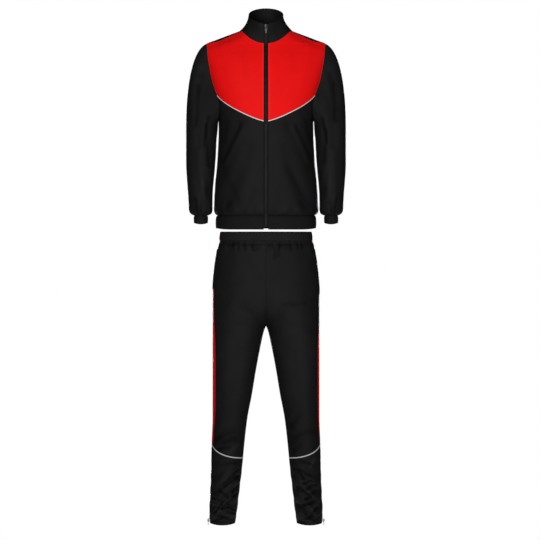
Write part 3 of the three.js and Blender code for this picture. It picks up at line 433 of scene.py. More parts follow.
LEG_CREASES = table(CREASE_COLUMNS, """
0 -1 0 -746 160 -746 4 1.8
0 1 0 -746 160 -746 4 1.8
-1 -1 20 -1010 90 -960 20 3
1 -1 20 -1010 96 -955 20 3
0 1 20 -985 130 -925 22 7
0 1 30 -1060 120 -1015 18 5
0 1 90 -1390 170 -1360 18 5
0 1 84 -1420 168 -1440 16 5
-1 -1 176 -1424 110 -1404 14 4
1 -1 172 -1400 100 -1424 14 3
1 -1 60 -962 140 -950 6 1.4
-1 -1 48 -990 110 -962 6 0.9
0 -1 30 -870 70 -800 18 1.6
-1 -1 90 -1120 120 -1260 18 1.8
1 -1 96 -1130 112 -1250 18 1.6
1 -1 88 -1382 111 -1350 12 2.5
-1 -1 149 -1444 107 -1429 9 3.6
-1 -1 167 -1464 126 -1460 6 3
-1 -1 130 -1477 95 -1448 8 -2.2
1 -1 120 -1450 96 -1470 9 1.8
0 1 60 -1130 110 -1220 16 2.4
0 1 110 -1300 150 -1360 12 2.6
-1 -1 134 -742 134 -754 3.5 2.6
-1 -1 117 -742 116 -757 3.5 2.9
-1 -1 99 -743 98 -764 4 3.2
-1 -1 78 -744 74 -766 4 3.2
-1 -1 49 -744 43 -768 4 3.8
-1 -1 35 -744 32 -764 4 3.2
1 -1 22 -744 26 -758 4 3.8
1 -1 34 -755 32 -794 5 3.5
1 -1 50 -744 45 -786 5 3.5
1 -1 70 -744 70 -760 4 2.9
1 -1 87 -744 90 -766 4 2.9
1 -1 112 -744 112 -760 3.5 2.6
1 -1 126 -744 128 -760 3.5 2.6
0 -1 62 -742 61 -752 3 2.2
0 -1 108 -742 107 -750 3 2.2
0 1 30 -744 28 -770 4 2
0 1 62 -744 64 -764 4 2
0 1 96 -744 94 -774 4 2.2
0 1 126 -744 128 -762 4 1.8
""")
# The short creases of the cloth that stacks over the ankle, on the front of each leg
STACK_CREASES = table("side x1 z1 x2 z2 half depth", """
-1 157 -1522 103 -1510 5.0 1.6
-1 97 -1534 126 -1565 5.0 3
-1 95 -1557 147 -1592 5.6 3.6
-1 97 -1588 114 -1611 4.3 3
-1 167 -1606 134 -1629 4.3 3.2
-1 188 -1631 153 -1648 3.7 2.8
-1 103 -1619 153 -1668 4.3 3.6
-1 153 -1667 128 -1665 3.7 4
-1 180 -1683 159 -1656 3.7 2.8
-1 138 -1646 110 -1676 3.7 2.8
-1 165 -1695 132 -1701 3.7 4
-1 184 -1712 163 -1701 3.1 2.8
-1 132 -1679 110 -1685 3.1 2.4
-1 173 -1716 142 -1714 3.1 2
-1 177 -1672 157 -1678 3.7 -2.4
-1 149 -1653 116 -1632 3.7 -2.4
-1 184 -1655 161 -1662 3.1 -1.8
-1 150 -1688 120 -1694 3.7 -2.2
-1 150 -1575 118 -1552 5.0 -2
1 115 -1508 158 -1516 4.3 3
1 170 -1499 154 -1526 5.0 -2.4
1 100 -1530 154 -1555 5.0 3.2
1 107 -1537 131 -1569 4.3 2.6
1 131 -1584 162 -1574 3.7 3.4
1 142 -1602 175 -1588 3.7 3.8
1 109 -1596 152 -1627 5.0 3.8
1 177 -1607 152 -1627 4.3 2.8
1 135 -1637 158 -1633 3.1 4.2
1 127 -1658 173 -1646 4.3 4.8
1 107 -1654 142 -1689 4.3 3.2
1 181 -1666 154 -1697 4.3 3.4
1 138 -1701 164 -1698 3.7 5
1 115 -1712 138 -1718 3.1 2.4
1 170 -1709 187 -1697 3.7 2.8
1 158 -1672 174 -1658 3.1 -2.4
1 119 -1573 142 -1578 3.7 -2.4
1 120 -1618 150 -1612 4.3 -2
""")
HEM_GATHERS = {"waves": 20, "depth": 2.0, "peak": 14, "reach": 60}
WAIST_GATHERS = {"waves": 22, "depth": 2.2, "peak": 12, "reach": 50}
CUFF_GATHERS = {"waves": 10, "depth": 2.2, "peak": 16, "reach": 60}


def powered(value, exponent):
    """The size of the value to an exponent, with the value's sign."""
    return np.sign(value) * np.abs(value) ** exponent


def vectors(x, y, z):
    """Three arrays as one array of points."""
    return np.stack(np.broadcast_arrays(x, y, z), axis=-1).astype(float)


def lengths(values):
    """The length of each vector."""
    return np.linalg.norm(values, axis=-1)


def unit(values):
    """Each vector at length 1."""
    return values / np.maximum(lengths(values), 1e-9)[..., None]


def steps(length, spacing=4.5):
    """Shares from 0 to 1 along a length, even but for two close ones beside each end, which
    carry the rounded edge."""
    even = np.linspace(0, 1, max(4, round(length / spacing) + 1))
    close = np.array(NEAR_EDGE) / length
    return np.concatenate([[0], close, even[1:-1], 1 - close[::-1], [1]])


def surface_normal(surface, z, angle, middle):
    """Unit normals from small steps along the angle and the height, turned away from the
    middle."""
    turn = 0.004
    lift = 0.4
    across = surface(z, angle + turn) - surface(z, angle - turn)
    up = surface(z + lift, angle) - surface(z - lift, angle)
    normal = unit(np.cross(across, up))
    outward = np.sum(normal * (surface(z, angle) - middle), axis=-1, keepdims=True)
    return np.where(outward < 0, -normal, normal)


def grid_normal(points, middle, wrap=False):
    """Unit normals from the differences between neighbours on the grid, turned away from the
    middle. Wrap joins the last column to the first."""
    if wrap:
        ring = np.concatenate([points[:, -1:], points, points[:, :1]], axis=1)
        across = ring[:, 2:] - ring[:, :-2]
    else:
        across = np.gradient(points, axis=1)
    normal = unit(np.cross(across, np.gradient(points, axis=0)))
    outward = np.sum(normal * (points - middle))
    return -normal if outward < 0 else normal


def crease_depth(creases, points, normals):
    """How far creases push points in: each is depth times exp(-(distance/half)^2) from its
    line in the front view, on the face that it lies on. The second value is the same with
    less of the wide ones, and is painted shade in troughs and painted highlight on ridges."""
    total = np.zeros(points.shape[:-1])
    shade = np.zeros(points.shape[:-1])
    for side, face, x1, z1, x2, z2, half, depth in zip(*creases.values()):
        across = np.abs(points[..., 0]) if side == 0 else side * points[..., 0]
        facing = clamp(face * normals[..., 1] * FACE_GAIN)
        dx, dz = x2 - x1, z2 - z1
        px, pz = across - x1, points[..., 2] - z1
        along = clamp((px * dx + pz * dz) / (dx * dx + dz * dz))
        away = np.hypot(px - along * dx, pz - along * dz) / half
        pushed = depth * facing * np.exp(-away * away)
        total += pushed
        shade += pushed * min(1, SHARP_HALF / half) ** SHARP_POWER
    return total, shade


def gather_wave(gathers, turn, away):
    """Uneven waves beside a gathered seam: none on it, deepest at peak and gone at reach.
    Their pitch and depth drift round the ring by a few slow sines."""
    rise = clamp(away / gathers["peak"])
    fade = clamp(1 - (away - gathers["peak"]) / (gathers["reach"] - gathers["peak"]))
    phase = TURN * turn
    drift = 0.9 * np.sin(3 * phase + 1) + 0.6 * np.sin(7 * phase + 2)
    strength = 0.65 + 0.35 * np.sin(5 * phase + 0.5)
    wave = np.cos(gathers["waves"] * phase + drift)
    return gathers["depth"] * rise * fade * fade * strength * wave


# Meshes

def collection():
    """The scene's own collection."""
    return bpy.context.scene.collection


def add_mesh(name, points, faces, uv=None, fold=None, sharp=50):
    """A mesh object from points in millimetres and four-sided or three-sided faces, with a
    UV pair for each corner where a pattern follows the surface, and the painted shade of
    the folds for each point."""
    mesh = bpy.data.meshes.new(name)
    points = np.asarray(points, dtype=float).reshape(-1, 3) * MM
    faces = np.asarray(faces, dtype=np.int32)
    corners = faces.shape[1]
    mesh.vertices.add(len(points))
    mesh.vertices.foreach_set("co", points.ravel())
    mesh.loops.add(faces.size)
    mesh.loops.foreach_set("vertex_index", faces.ravel())
    mesh.polygons.add(len(faces))
    mesh.polygons.foreach_set("loop_start", np.arange(0, faces.size, corners, dtype=np.int32))
    mesh.polygons.foreach_set("use_smooth", np.ones(len(faces), dtype=bool))
    if uv is not None:
        layer = mesh.uv_layers.new(name="cloth")
        layer.data.foreach_set("uv", np.asarray(uv, dtype=float).ravel())
    if fold is not None:
        mesh.attributes.new("fold", "FLOAT", "POINT").data.foreach_set("value", fold)
    mesh.update(calc_edges=True)
    mesh.validate()
    mesh.set_sharp_from_angle(angle=math.radians(sharp))
    piece = bpy.data.objects.new(name, mesh)
    collection().objects.link(piece)
    return piece


def edge_distance(points, wrap):
    """How far each point lies from the nearest edge of its grid."""
    ends = [points[:1], points[-1:]]
    if not wrap:
        ends += [points[:, :1], points[:, -1:]]
    return np.min([lengths(points - end) for end in ends], axis=0)


def drawn_back(points, seams):
    """The grid with the edges named in seams moved in along the surface by half of the gap
    between two sewn edges."""
    moved = points.copy()
    for name, edge, inside in (
        ("low", np.s_[0], np.s_[1]),
        ("high", np.s_[-1], np.s_[-2]),
        ("start", np.s_[:, 0], np.s_[:, 1]),
        ("end", np.s_[:, -1], np.s_[:, -2]),
    ):
        if name in seams:
            moved[edge] += unit(points[inside] - points[edge]) * (SEWN_GAP / 2)
    return moved


def run_length(points):
    """How far each point lies along its path, counted from the first."""
    return np.concatenate([[0], np.cumsum(lengths(np.diff(points, axis=0)))])


def cloth_uv(points, wrap):
    """Metres along each row from its middle, and up each column, for the weave."""
    closed = np.concatenate([points, points[:, :1]], axis=1) if wrap else points
    across = np.zeros(closed.shape[:2])
    up = np.zeros(closed.shape[:2])
    across[:, 1:] = np.cumsum(lengths(np.diff(closed, axis=1)), axis=1)
    up[1:] = np.cumsum(lengths(np.diff(closed, axis=0)), axis=0)
    return np.stack([across - across[:, -1:] / 2, up], axis=-1) * MM


def shell(name, points, normals, shade=None, thick=WALL, wrap=False, seams=None, soft=0.8):
    """A closed cloth wall: the grid is its outside, the same grid moved in by its thickness
    is its inside, and strips join their edges. Beside an edge both sides curve towards the
    middle of the wall by soft * (1 - sqrt(1 - (1 - d/soft)^2)) at a distance d. Points at
    x = 0 keep it, so that two halves meet there."""
    every = ("low", "high") if wrap else ("low", "high", "start", "end")
    points = drawn_back(points, every if seams is None else seams)
    share = clamp(1 - edge_distance(points, wrap) / soft)
    sunk = (soft * (1 - np.sqrt(1 - share**2)))[..., None]
    outer = points - normals * sunk
    inner = points - normals * (thick - sunk * 0.9)
    centred = points[..., 0] == 0
    outer[..., 0][centred] = 0
    inner[..., 0][centred] = 0
    rows, columns = points.shape[:2]
    spans = columns if wrap else columns - 1
    side, ring = np.arange(rows - 1), np.arange(spans)
    i, j = (index.ravel() for index in np.meshgrid(side, ring, indexing="ij"))

    def corner(layer, row, column):
        """One corner as its layer, row and column."""
        return np.stack(np.broadcast_arrays(layer, row, column), axis=-1)

    def rim(first, second):
        """The strip along an edge, between its points and the next ones on both sides."""
        return [corner(0, *first), corner(0, *second), corner(1, *second), corner(1, *first)]

    high, last = rows - 1, columns - 1
    quads = [
        [corner(0, i, j), corner(0, i, j + 1), corner(0, i + 1, j + 1), corner(0, i + 1, j)],
        [corner(1, i, j), corner(1, i + 1, j), corner(1, i + 1, j + 1), corner(1, i, j + 1)],
        rim((0, ring + 1), (0, ring)),
        rim((high, ring), (high, ring + 1)),
    ]
    if not wrap:
        quads += [rim((side, 0), (side + 1, 0)), rim((side + 1, last), (side, last))]
    cells = np.concatenate([np.stack(quad, axis=1) for quad in quads])
    along = outer[0, 1 % columns] - outer[0, 0]
    if np.dot(np.cross(along, outer[1, 0] - outer[0, 0]), normals[0, 0]) < 0:
        cells = cells[:, ::-1]
    layer, row, column = np.moveaxis(cells, -1, 0)
    index = (layer * rows + row) * columns + column % columns
    both = np.concatenate([outer.reshape(-1, 3), inner.reshape(-1, 3)])
    fold = None if shade is None else np.tile(shade.ravel(), 2)
    return add_mesh(name, both, index, uv=cloth_uv(points, wrap)[row, column], fold=fold)


def finish_piece(piece, look, nodes=(), body="suit"):
    """Gives a piece its material and its body, and hides the solids that it stands for."""
    piece.data.materials.append(material_named(look))
    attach(piece, body)
    if nodes:
        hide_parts(*nodes)
    return piece


def cloth(name, grid, look, slot, nodes, **walls):
    """A finished piece of cloth: the shell on a grid."""
    return finish_piece(shell(name, *grid, **walls), look, nodes)


def repeated(shape, faces, places, axes, size):
    """Copies of one small shape of this size: each point is its place plus the shape's
    coordinates along the three axes there."""
    shape = np.asarray(shape, dtype=float) * size
    shapes = np.broadcast_to(shape, (len(places), *shape.shape))
    points = places[:, None] + np.einsum("nkc,ncd->nkd", shapes, axes)
    index = np.asarray(faces)[None] + (np.arange(len(places)) * len(shape))[:, None, None]
    return points.reshape(-1, 3), index.reshape(-1, index.shape[-1])


def resampled(path, extra, pitch):
    """Points every pitch along a path, with the values in extra carried along."""
    run = run_length(path)
    count = int(run[-1] / pitch)
    at = (np.arange(count) + 0.5) * run[-1] / count
    pick = lambda values: np.stack([np.interp(at, run, column) for column in values.T], axis=1)
    return pick(path), pick(extra)


def path_frames(places, normals):
    """At each place: the direction along the path, the direction across it, and the normal."""
    along = unit(np.gradient(places, axis=0))
    across = unit(np.cross(normals, along))
    return np.stack([along, across, unit(np.cross(along, across))], axis=1)


def capsule(sides=6, rings=4):
    """A unit stitch along x: rings of radius sqrt(1 - x^2) round the line, with closed ends."""
    x = np.sin(np.linspace(-QUARTER, QUARTER, rings + 2))[1:-1]
    turn = np.arange(sides) * TURN / sides
    wide = np.sqrt(1 - x**2)
    body = vectors(x[:, None], wide[:, None] * np.cos(turn), wide[:, None] * np.sin(turn))
    points = np.concatenate([body.reshape(-1, 3), [[-1, 0, 0], [1, 0, 0]]])
    faces = []
    for ring in range(rings - 1):
        for k in range(sides):
            a, b = ring * sides + k, ring * sides + (k + 1) % sides
            faces.append([a, b, b + sides, a + sides])
    low, high = rings * sides, rings * sides + 1
    top = (rings - 1) * sides
    for k in range(0, sides, 2):
        faces.append([low, (k + 2) % sides, k + 1, k])
        faces.append([high, top + k, top + k + 1, top + (k + 2) % sides])
    return points, faces


STITCH = capsule()
STITCH_GAP = 1.1
STITCH_RADIUS = 0.42


def stitches(name, paths, look):
    """Rows of stitches on surface paths, joined in one mesh. Each stitch is a capsule that
    is half sunk in the cloth."""
    length = bpy.context.scene.tracksuit_sizes.stitch_length / MM
    size = [length / 2, STITCH_RADIUS, STITCH_RADIUS]
    points, faces, count = [], [], 0
    for path, normals in paths:
        places, outward = resampled(path, normals, length + STITCH_GAP)
        frames = path_frames(places, unit(outward))
        stitch, index = repeated(*STITCH, places, frames, size)
        points.append(stitch)
        faces.append(index + count)
        count += len(stitch)
    piece = add_mesh(name, np.concatenate(points), np.concatenate(faces), sharp=180)
    return finish_piece(piece, look)


# Surfaces of the jacket

def body_point(z, angle):
    """The plain jacket: x = half * sin^p and y = -depth * cos^p, with p = 2 / roundness and
    the depth of the front or of the back. The angle is 0 at the middle of the front."""
    z, angle = np.broadcast_arrays(z, angle)
    power = 2 / JACKET.round(z)
    front = np.cos(angle) >= 0
    depth = np.where(front, JACKET.front(z), JACKET.back(z))
    x = JACKET.half(z) * powered(np.sin(angle), power)
    return vectors(x, -depth * powered(np.cos(angle), power), z)


def body_cells(z, angle):
    """The jacket with its creases and gathers, its normals and the painted shade of its folds."""
    z, angle = np.broadcast_arrays(z, angle)
    middle = vectors(0, 0, z - 60)
    normals = surface_normal(body_point, z, angle, middle)
    points = body_point(z, angle)
    wave = gather_wave(HEM_GATHERS, angle / TURN, z - BODY_END_Z)
    depth, shade = crease_depth(JACKET_CREASES, points, normals)
    return points + normals * (wave - depth)[..., None], normals, shade - GATHER_SHADE * wave


def angle_at(z, distance):
    """The angle at which the jacket's ring is a distance from the middle."""
    part = clamp(distance / JACKET.half(z))
    return np.arcsin(part ** (JACKET.round(z) / 2))


def edge_angle(z, reach):
    """Where a panel ends: beside the armhole, or at the side and shoulder seams. The shoulder
    seam lies SEAM_FORWARD in front of the crest, so there the back reaches further."""
    beside = angle_at(z, reach(z))
    forward = (SEAM_FORWARD / JACKET.front(z)) ** (JACKET.round(z) / 2)
    shift = np.arcsin(forward) * clamp((z - SHOULDER_Z) / SEAM_TURN)
    seam = QUARTER + np.where(z >= SHOULDER_Z, shift if reach is ARMHOLE.back else -shift, 0)
    return np.where((z >= SHOULDER_Z) | (z <= UNDERARM_Z), seam, beside)


def neck_height(share):
    """Heights up the front neckline, which is share * NECK_REACH from the middle and rises
    with share^NECK_POWER."""
    return SHOULDER_Z + NECK_RISE * share**NECK_POWER


def neck_angle(z, share):
    """The angles of the front neckline's points."""
    return angle_at(z, share * NECK_REACH)


def chevron_height(share):
    """The chevron from the zip, share 0, up to the armhole, share 1."""
    return lerp(CHEVRON_MIDDLE_Z, CHEVRON_SIDE_Z, share) + CHEVRON_HOOK * share**8


NECK_REACH = NECK_HALF - 1.5
NECK_START = ZIP_EDGE / NECK_REACH
NECK_END = ((NECK_RISE - 1) / NECK_RISE) ** (1 / NECK_POWER)


def front_rows(z, start, across):
    """Angles of a front panel's rows, from where they start to the armhole or the seam."""
    return lerp(start, edge_angle(z, ARMHOLE.front), across)


def near_edge(share, width):
    """The weight of a painted highlight, and of a painted shade, beside an edge:
    exp(-(share/width)^2).
    """
    return np.exp(-((share / width) ** 2))


def yoke_grid(side):
    """The yoke: rows that turn from the chevron's line to the shoulder's level, then level
    rows that start on the neckline. Along its edges by the zip and the armhole, a painted
    highlight lightens its colour."""
    across = steps(190)
    share = steps(180)[:, None]
    low = lerp(chevron_height(across) + PIPE_HALF, SHOULDER_Z, share)[:-1]
    neck = lerp(NECK_START, NECK_END, steps(110))[:, None]
    high = neck_height(neck) + 0 * across
    z = np.concatenate([low, high])
    start = np.concatenate([angle_at(low, ZIP_EDGE), neck_angle(high, neck)])
    points, normals, shade = body_cells(z, side * front_rows(z, start, across))
    # A painted highlight lightens the red beside the zip, the neckline and the armhole
    edges = near_edge(across, EDGE_SHARE) + near_edge(1 - across, EDGE_SHARE)
    return points, normals, shade - EDGE_HIGHLIGHT * edges


def lower_front_grid(side):
    """The lower front: rows that turn from the hem's level to the chevron's line."""
    across = steps(180)
    share = steps(400)[:, None]
    z = lerp(BODY_END_Z, chevron_height(across) - PIPE_HALF, share)
    return body_cells(z, side * front_rows(z, angle_at(z, ZIP_EDGE), across))


def back_grid():
    """The back panel: level rows between the side seams, armholes and shoulder seams."""
    across = lerp(-1, 1, steps(440))
    low = lerp(BODY_END_Z, SHOULDER_Z, steps(600))[:-1]
    high = neck_height(lerp(NECK_START, NECK_END, steps(110)))
    z = np.concatenate([low, high])[:, None] + 0 * across
    return body_cells(z, math.pi + across * edge_angle(z, ARMHOLE.back))


def bead(points, normals, bulge, turn):
    """A round bead on the cells between its two edges, bulge high in its middle."""
    return points + normals * (bulge * np.cos(turn))[..., None], normals


def chevron_bead(side, bulge):
    """The piping along the chevron."""
    across = steps(190)
    turn = np.linspace(-QUARTER, QUARTER, 9)[:, None]
    z = chevron_height(across) + PIPE_HALF * np.sin(turn)
    cells = body_cells(z, side * front_rows(z, angle_at(z, ZIP_EDGE), across))
    return bead(*cells[:2], bulge, turn)


COLLAR_TOP = {"half": 61, "front": -78, "back": 56, "low": 23, "high": 79, "sharp": 0.8}
COLLAR_DEPTH = 70
COLLAR_FIXED = 6
COLLAR_SLACK = 0.9


def collar_grid():
    """The stand collar rises from the neck seam to a smaller ring, which is highest at the
    back. The lean grows as 1 - (1 - h)^2."""
    neck = lerp(NECK_START, NECK_END, steps(120)[:-1])
    front_z = neck_height(neck)
    front = body_point(front_z, neck_angle(front_z, neck))
    seam_z = np.full(40, float(neck_height(NECK_END)))
    back = body_point(seam_z, np.linspace(QUARTER, math.pi, 40))
    right = np.concatenate([front, back])
    left = right[::-1][1:] * [-1, 1, 1]
    base = np.concatenate([right, left])
    centre = (COLLAR_TOP["front"] + COLLAR_TOP["back"]) / 2
    depth = (COLLAR_TOP["back"] - COLLAR_TOP["front"]) / 2
    turn = np.arctan2(base[:, 0] / NECK_HALF, -base[:, 1] / COLLAR_DEPTH)
    rise = ((1 - np.cos(turn)) / 2) ** COLLAR_TOP["sharp"]
    fixed = clamp(1 - (np.abs(base[:, 0]) - ZIP_EDGE) / COLLAR_FIXED)
    top_x = lerp(COLLAR_TOP["half"] * np.sin(turn), base[:, 0], fixed)
    top_y = centre - depth * np.cos(turn)
    top_z = lerp(COLLAR_TOP["low"], COLLAR_TOP["high"], rise)
    h = steps(80, spacing=3.5)[:, None]
    lean = 1 - (1 - h) ** 2
    points = vectors(
        lerp(base[:, 0], top_x, lean), lerp(base[:, 1], top_y, lean), lerp(base[:, 2], top_z, h)
    )
    normals = grid_normal(points, vectors(0, centre, points[..., 2]))
    level = clamp(h * 12) * clamp((1 - h) * 12)
    slack = COLLAR_SLACK * np.sin(turn * 5 + 3 * h) * np.sin(math.pi * h) * level
    return points + normals * slack[..., None], normals


def tube_ring(rings, z):
    """The middle and half width of a sleeve's or a leg's ring, its centre and half depth."""
    outer, inner = rings.outer(z), rings.inner(z)
    front, back = rings.front(z), rings.back(z)
    return (outer + inner) / 2, (outer - inner) / 2, (front + back) / 2, (back - front) / 2


def tube_point(rings, power, side, z, angle):
    """A plain sleeve or leg as superellipse rings: the angle is 0 on the outer side, a
    quarter turn at the front and half a turn on the inner side."""
    middle, half, centre, depth = tube_ring(rings, z)
    x = side * (middle + half * powered(np.cos(angle), power))
    return vectors(x, centre - depth * powered(np.sin(angle), power), z)


ARM_COLUMNS = 44
ARM_SAMPLES = 1200
SLEEVE_POWER = 2 / SLEEVE_ROUND
# How steeply the sleeve leaves the armhole at its top, under the arm and at its flanks
SLEEVE_OUT = (0.6, 0.12, 0.42)
SLEEVE_DOWN = (0.26, 1, 0.4)
SLEEVE_FORWARD = 0.14
# The cloth has no creases above this height and in the first rows from the armhole
SLEEVE_CALM_Z = -54
SLEEVE_CALM_FADE = 40
SLEEVE_CALM_ROWS = 6


def side_angle(side, z, back):
    """The angle of the front's or the back's outer edge on a side."""
    if back:
        return math.pi - side * edge_angle(z, ARMHOLE.back)
    return side * edge_angle(z, ARMHOLE.front)


def armhole_loop(side):
    """The armhole as a loop of evenly spaced points, from the shoulder down the front and up
    the back, with the body's normals."""
    turn = np.linspace(0, math.pi, ARM_SAMPLES)
    fine = lerp(SHOULDER_Z, UNDERARM_Z, (1 - np.cos(turn)) / 2)

    def half_loop(back):
        """Heights evenly spaced along the front's or the back's edge, and their angles."""
        run = run_length(body_point(fine, side_angle(side, fine, back)))
        z = np.interp(np.linspace(0, run[-1], ARM_COLUMNS + 1), run, fine)
        return z, side_angle(side, z, back)

    front_z, front_turn = half_loop(False)
    back_z, back_turn = half_loop(True)
    z = np.concatenate([front_z, back_z[::-1][1:-1]])
    return body_cells(z, np.concatenate([front_turn, back_turn[::-1][1:-1]]))[:2]


def sleeve_grid(side):
    """The sleeve: a cubic from the armhole to the first ring, which leaves out over the
    shoulder, forward or back at the flanks and down under the arm, then the rings."""
    start, loop_normals = armhole_loop(side)
    angle = np.arange(2 * ARM_COLUMNS) * math.pi / ARM_COLUMNS
    end = tube_point(SLEEVE, SLEEVE_POWER, side, SLEEVE_TOP_Z, angle)
    reach = lengths(start - end)[:, None]
    top = np.maximum(np.cos(angle), 0) ** 2
    under = np.maximum(-np.cos(angle), 0) ** 2
    flank = np.sin(angle) ** 2
    out = SLEEVE_OUT[0] * top + SLEEVE_OUT[1] * under + SLEEVE_OUT[2] * flank
    forward = -np.sign(np.round(np.sin(angle), 9)) * SLEEVE_FORWARD * flank
    down = SLEEVE_DOWN[0] * top + SLEEVE_DOWN[1] * under + SLEEVE_DOWN[2] * flank
    leave = vectors(side * out, forward, -down) * reach
    arrive = np.array([0, 0, -1]) * reach
    s = steps(150, spacing=4)[:-3, None, None]
    cap = (
        start * (1 + 2 * s) * (1 - s) ** 2
        + leave * s * (1 - s) ** 2
        + end * s * s * (3 - 2 * s)
        + arrive * s * s * (s - 1)
    )
    z = lerp(SLEEVE_TOP_Z, SLEEVE_END_Z, steps(308, spacing=4))
    rings = tube_point(SLEEVE, SLEEVE_POWER, side, z[:, None], angle)
    points = np.concatenate([cap, rings])
    axis = vectors(side * np.minimum(226, 120 - points[..., 2] / 2), 0, points[..., 2])
    normals = grid_normal(points, axis, wrap=True)
    blend = clamp(np.arange(len(points)) / 4)[:, None, None]
    normals = unit(lerp(loop_normals, normals, blend))
    settle = clamp((SLEEVE_CALM_Z - points[..., 2]) / SLEEVE_CALM_FADE)
    settle = settle * clamp(np.arange(len(points)) / SLEEVE_CALM_ROWS)[:, None]
    wave = gather_wave(CUFF_GATHERS, angle / TURN, points[..., 2] - SLEEVE_END_Z)
    depth, shade = crease_depth(SLEEVE_CREASES, points, normals)
    move = wave - settle * depth
    # The last value is the painted shade of the sleeve's creases and the cuff's gathers
    return points + normals * move[..., None], normals, settle * shade - GATHER_SHADE * wave


def band_point(rings, z, angle, middle=(0, 0), roundness=LEG_ROUND):
    """A band's ring: a superellipse with a front and a back depth."""
    power = 2 / roundness
    depth = np.where(np.cos(angle) > 0, curve(rings, "front")(z), curve(rings, "back")(z))
    x = middle[0] + curve(rings, "half")(z) * powered(np.sin(angle), power)
    return vectors(x, middle[1] - depth * powered(np.cos(angle), power), z)


def band_grid(rings, columns, middle=(0, 0), roundness=LEG_ROUND, start=0.0):
    """A band's points, normals, angles and heights. Start is how far from the middle of the
    front an open band begins, and 0 closes it."""
    top, low = rings["z"][[0, -1]]
    z = lerp(top, low, steps(top - low, 2.6))[:, None]
    half = curve(rings, "half")(z)
    if start:
        first = np.arcsin((start / half) ** (roundness / 2))
        angle = lerp(first, TURN - first, steps(2.2 * np.ptp(half) + 1000, 1000 / columns))
    else:
        angle = np.arange(columns) * TURN / columns
    points = band_point(rings, z, angle, middle, roundness)
    return points, grid_normal(points, vectors(*middle, z), wrap=not start), angle, z


def lower_share(rings, z):
    """How far down a band's lower part the heights lie, squared."""
    start, end = rings["z"][[3, -1]]
    return clamp((z - start) / (end - start)) ** 2


# Surfaces of the trousers

LEG_POWER = 2 / LEG_ROUND


def leg_point(side, z, angle):
    """A point of the plain leg."""
    return tube_point(LEG, LEG_POWER, side, z, angle)


def stack_creases():
    """The stacked cloth's creases as a full table: the front's as they are, and for the back
    the other leg's, moved a little."""
    front = dict(STACK_CREASES, face=-np.ones_like(STACK_CREASES["side"]))
    front["depth"] = front["depth"] * STACK_CREASE_STRENGTH
    moves = {"x1": BACK_SHIFT_X, "x2": BACK_SHIFT_X, "z1": BACK_SHIFT_Z, "z2": BACK_SHIFT_Z}
    back = {key: value + moves.get(key, 0) for key, value in front.items()}
    back.update(side=-front["side"], face=-front["face"])
    return {key: np.concatenate([front[key], back[key]]) for key in CREASE_COLUMNS.split()}


ANKLE_CREASES = stack_creases()


def stack_wave(z, angle):
    """The slack zigzag over the ankle: a cosine down the leg that slants as sin(2 angle), and
    falls to STACK_SIDE on the leg's sides with sin^2(angle)."""
    into = clamp((STACK_TOP_Z - z) / STACK_RISE) * clamp((z - TROUSER_END_Z) / STACK_FALL)
    slant = STACK_SLANT * np.sin(2 * angle)
    facing = lerp(STACK_SIDE, 1, np.sin(angle) ** 2)
    return STACK_DEPTH * into * facing * np.cos(((z - STACK_TOP_Z) / STACK_PITCH + slant) * TURN)


def leg_cells(side, z, angle):
    """The leg with its creases, gathers and stacked folds, its normals and its painted shade.
    Its edge on the middle of the trousers stays at x = 0, where both legs are sewn together."""
    z, angle = np.broadcast_arrays(z, angle)
    middle, _, centre, _ = tube_ring(LEG, z)
    surface = lambda height, turn: leg_point(side, height, turn)
    normals = surface_normal(surface, z, angle, vectors(side * middle, centre, z))
    points = leg_point(side, z, angle)
    turn = np.arctan2(points[..., 0], -points[..., 1]) / TURN
    wave = gather_wave(WAIST_GATHERS, turn, WAIST_SEAM_Z - z)
    hem = clamp((z - TROUSER_END_Z) / HEM_FADE)
    short, short_shade = crease_depth(ANKLE_CREASES, points, normals)
    depth, shade = crease_depth(LEG_CREASES, points, normals)
    stack = stack_wave(z, angle)
    moved = points + normals * (wave + stack - hem * short - depth)[..., None]
    shade = shade + hem * short_shade - GATHER_SHADE * wave - STACK_SHADE * stack
    # Painted shade that darkens the legs more and more below SLACK_TOP_Z, over SLACK_FADE
    shade = shade + SLACK_SHADE * clamp((SLACK_TOP_Z - z) / SLACK_FADE)
    low = clamp((z - HEM_DIP_Z) / (TROUSER_END_Z - HEM_DIP_Z))
    moved[..., 2] -= HEM_DIP * np.sin(angle) ** 2 * low**2
    centred = (np.abs(points[..., 0]) < MIDDLE_NEAR) & (LEG.inner(z) <= 0)
    moved[..., 0] = np.where(centred, 0, side * np.maximum(side * moved[..., 0], 0))
    return moved, normals, shade


def inner_angle(z):
    """Where the ring meets the middle of the trousers, or the inner leg seam."""
    middle, half, _, _ = tube_ring(LEG, z)
    part = clamp(np.maximum(middle, 0) / half)
    return math.pi - np.arccos(part ** (LEG_ROUND / 2))


def angle_beside(z, distance):
    """The angle at which the ring lies a distance before or behind the side line."""
    part = np.abs(distance) / tube_ring(LEG, z)[3]
    return np.sign(distance) * np.arcsin(part ** (LEG_ROUND / 2))


def stripe_edge(side, z, over=0):
    """The front edge of the side panel, or a line in front of it."""
    tuck = STRIPE_TUCK.back(z) if side == RIGHT else 0
    return angle_beside(z, STRIPE.front(z) - tuck + over)


def pipe_height(angle):
    """The seam below the knee: it falls from the side to the inner leg as a mix of two
    powers, 12 and 2.4, of how far out the point lies."""
    out = (1 + powered(np.cos(angle), LEG_POWER)) / 2
    bend = lerp(out**2.4, out**12, PIPE_HOOK)
    return lerp(PIPE_INNER_Z, PIPE_OUTER_Z, bend)


UPPER_LOW_Z = -1425
LOWER_TOP_Z = -1498
# Below this height the back panel's rows are closer, for the stacked cloth
BACK_FINE_Z = -1480
STACK_SPACING = 2.7


def to_pipe(side, z, angle, pipe_angle, lift, share):
    """Cells between a level row and the piping's line."""
    height = lerp(z, pipe_height(pipe_angle) + lift, share)
    return leg_cells(side, height, lerp(angle, pipe_angle, share))


def joined(*grids):
    """Grids stacked in rows: their points, their normals and their shades."""
    return tuple(np.concatenate(parts) for parts in zip(*grids))


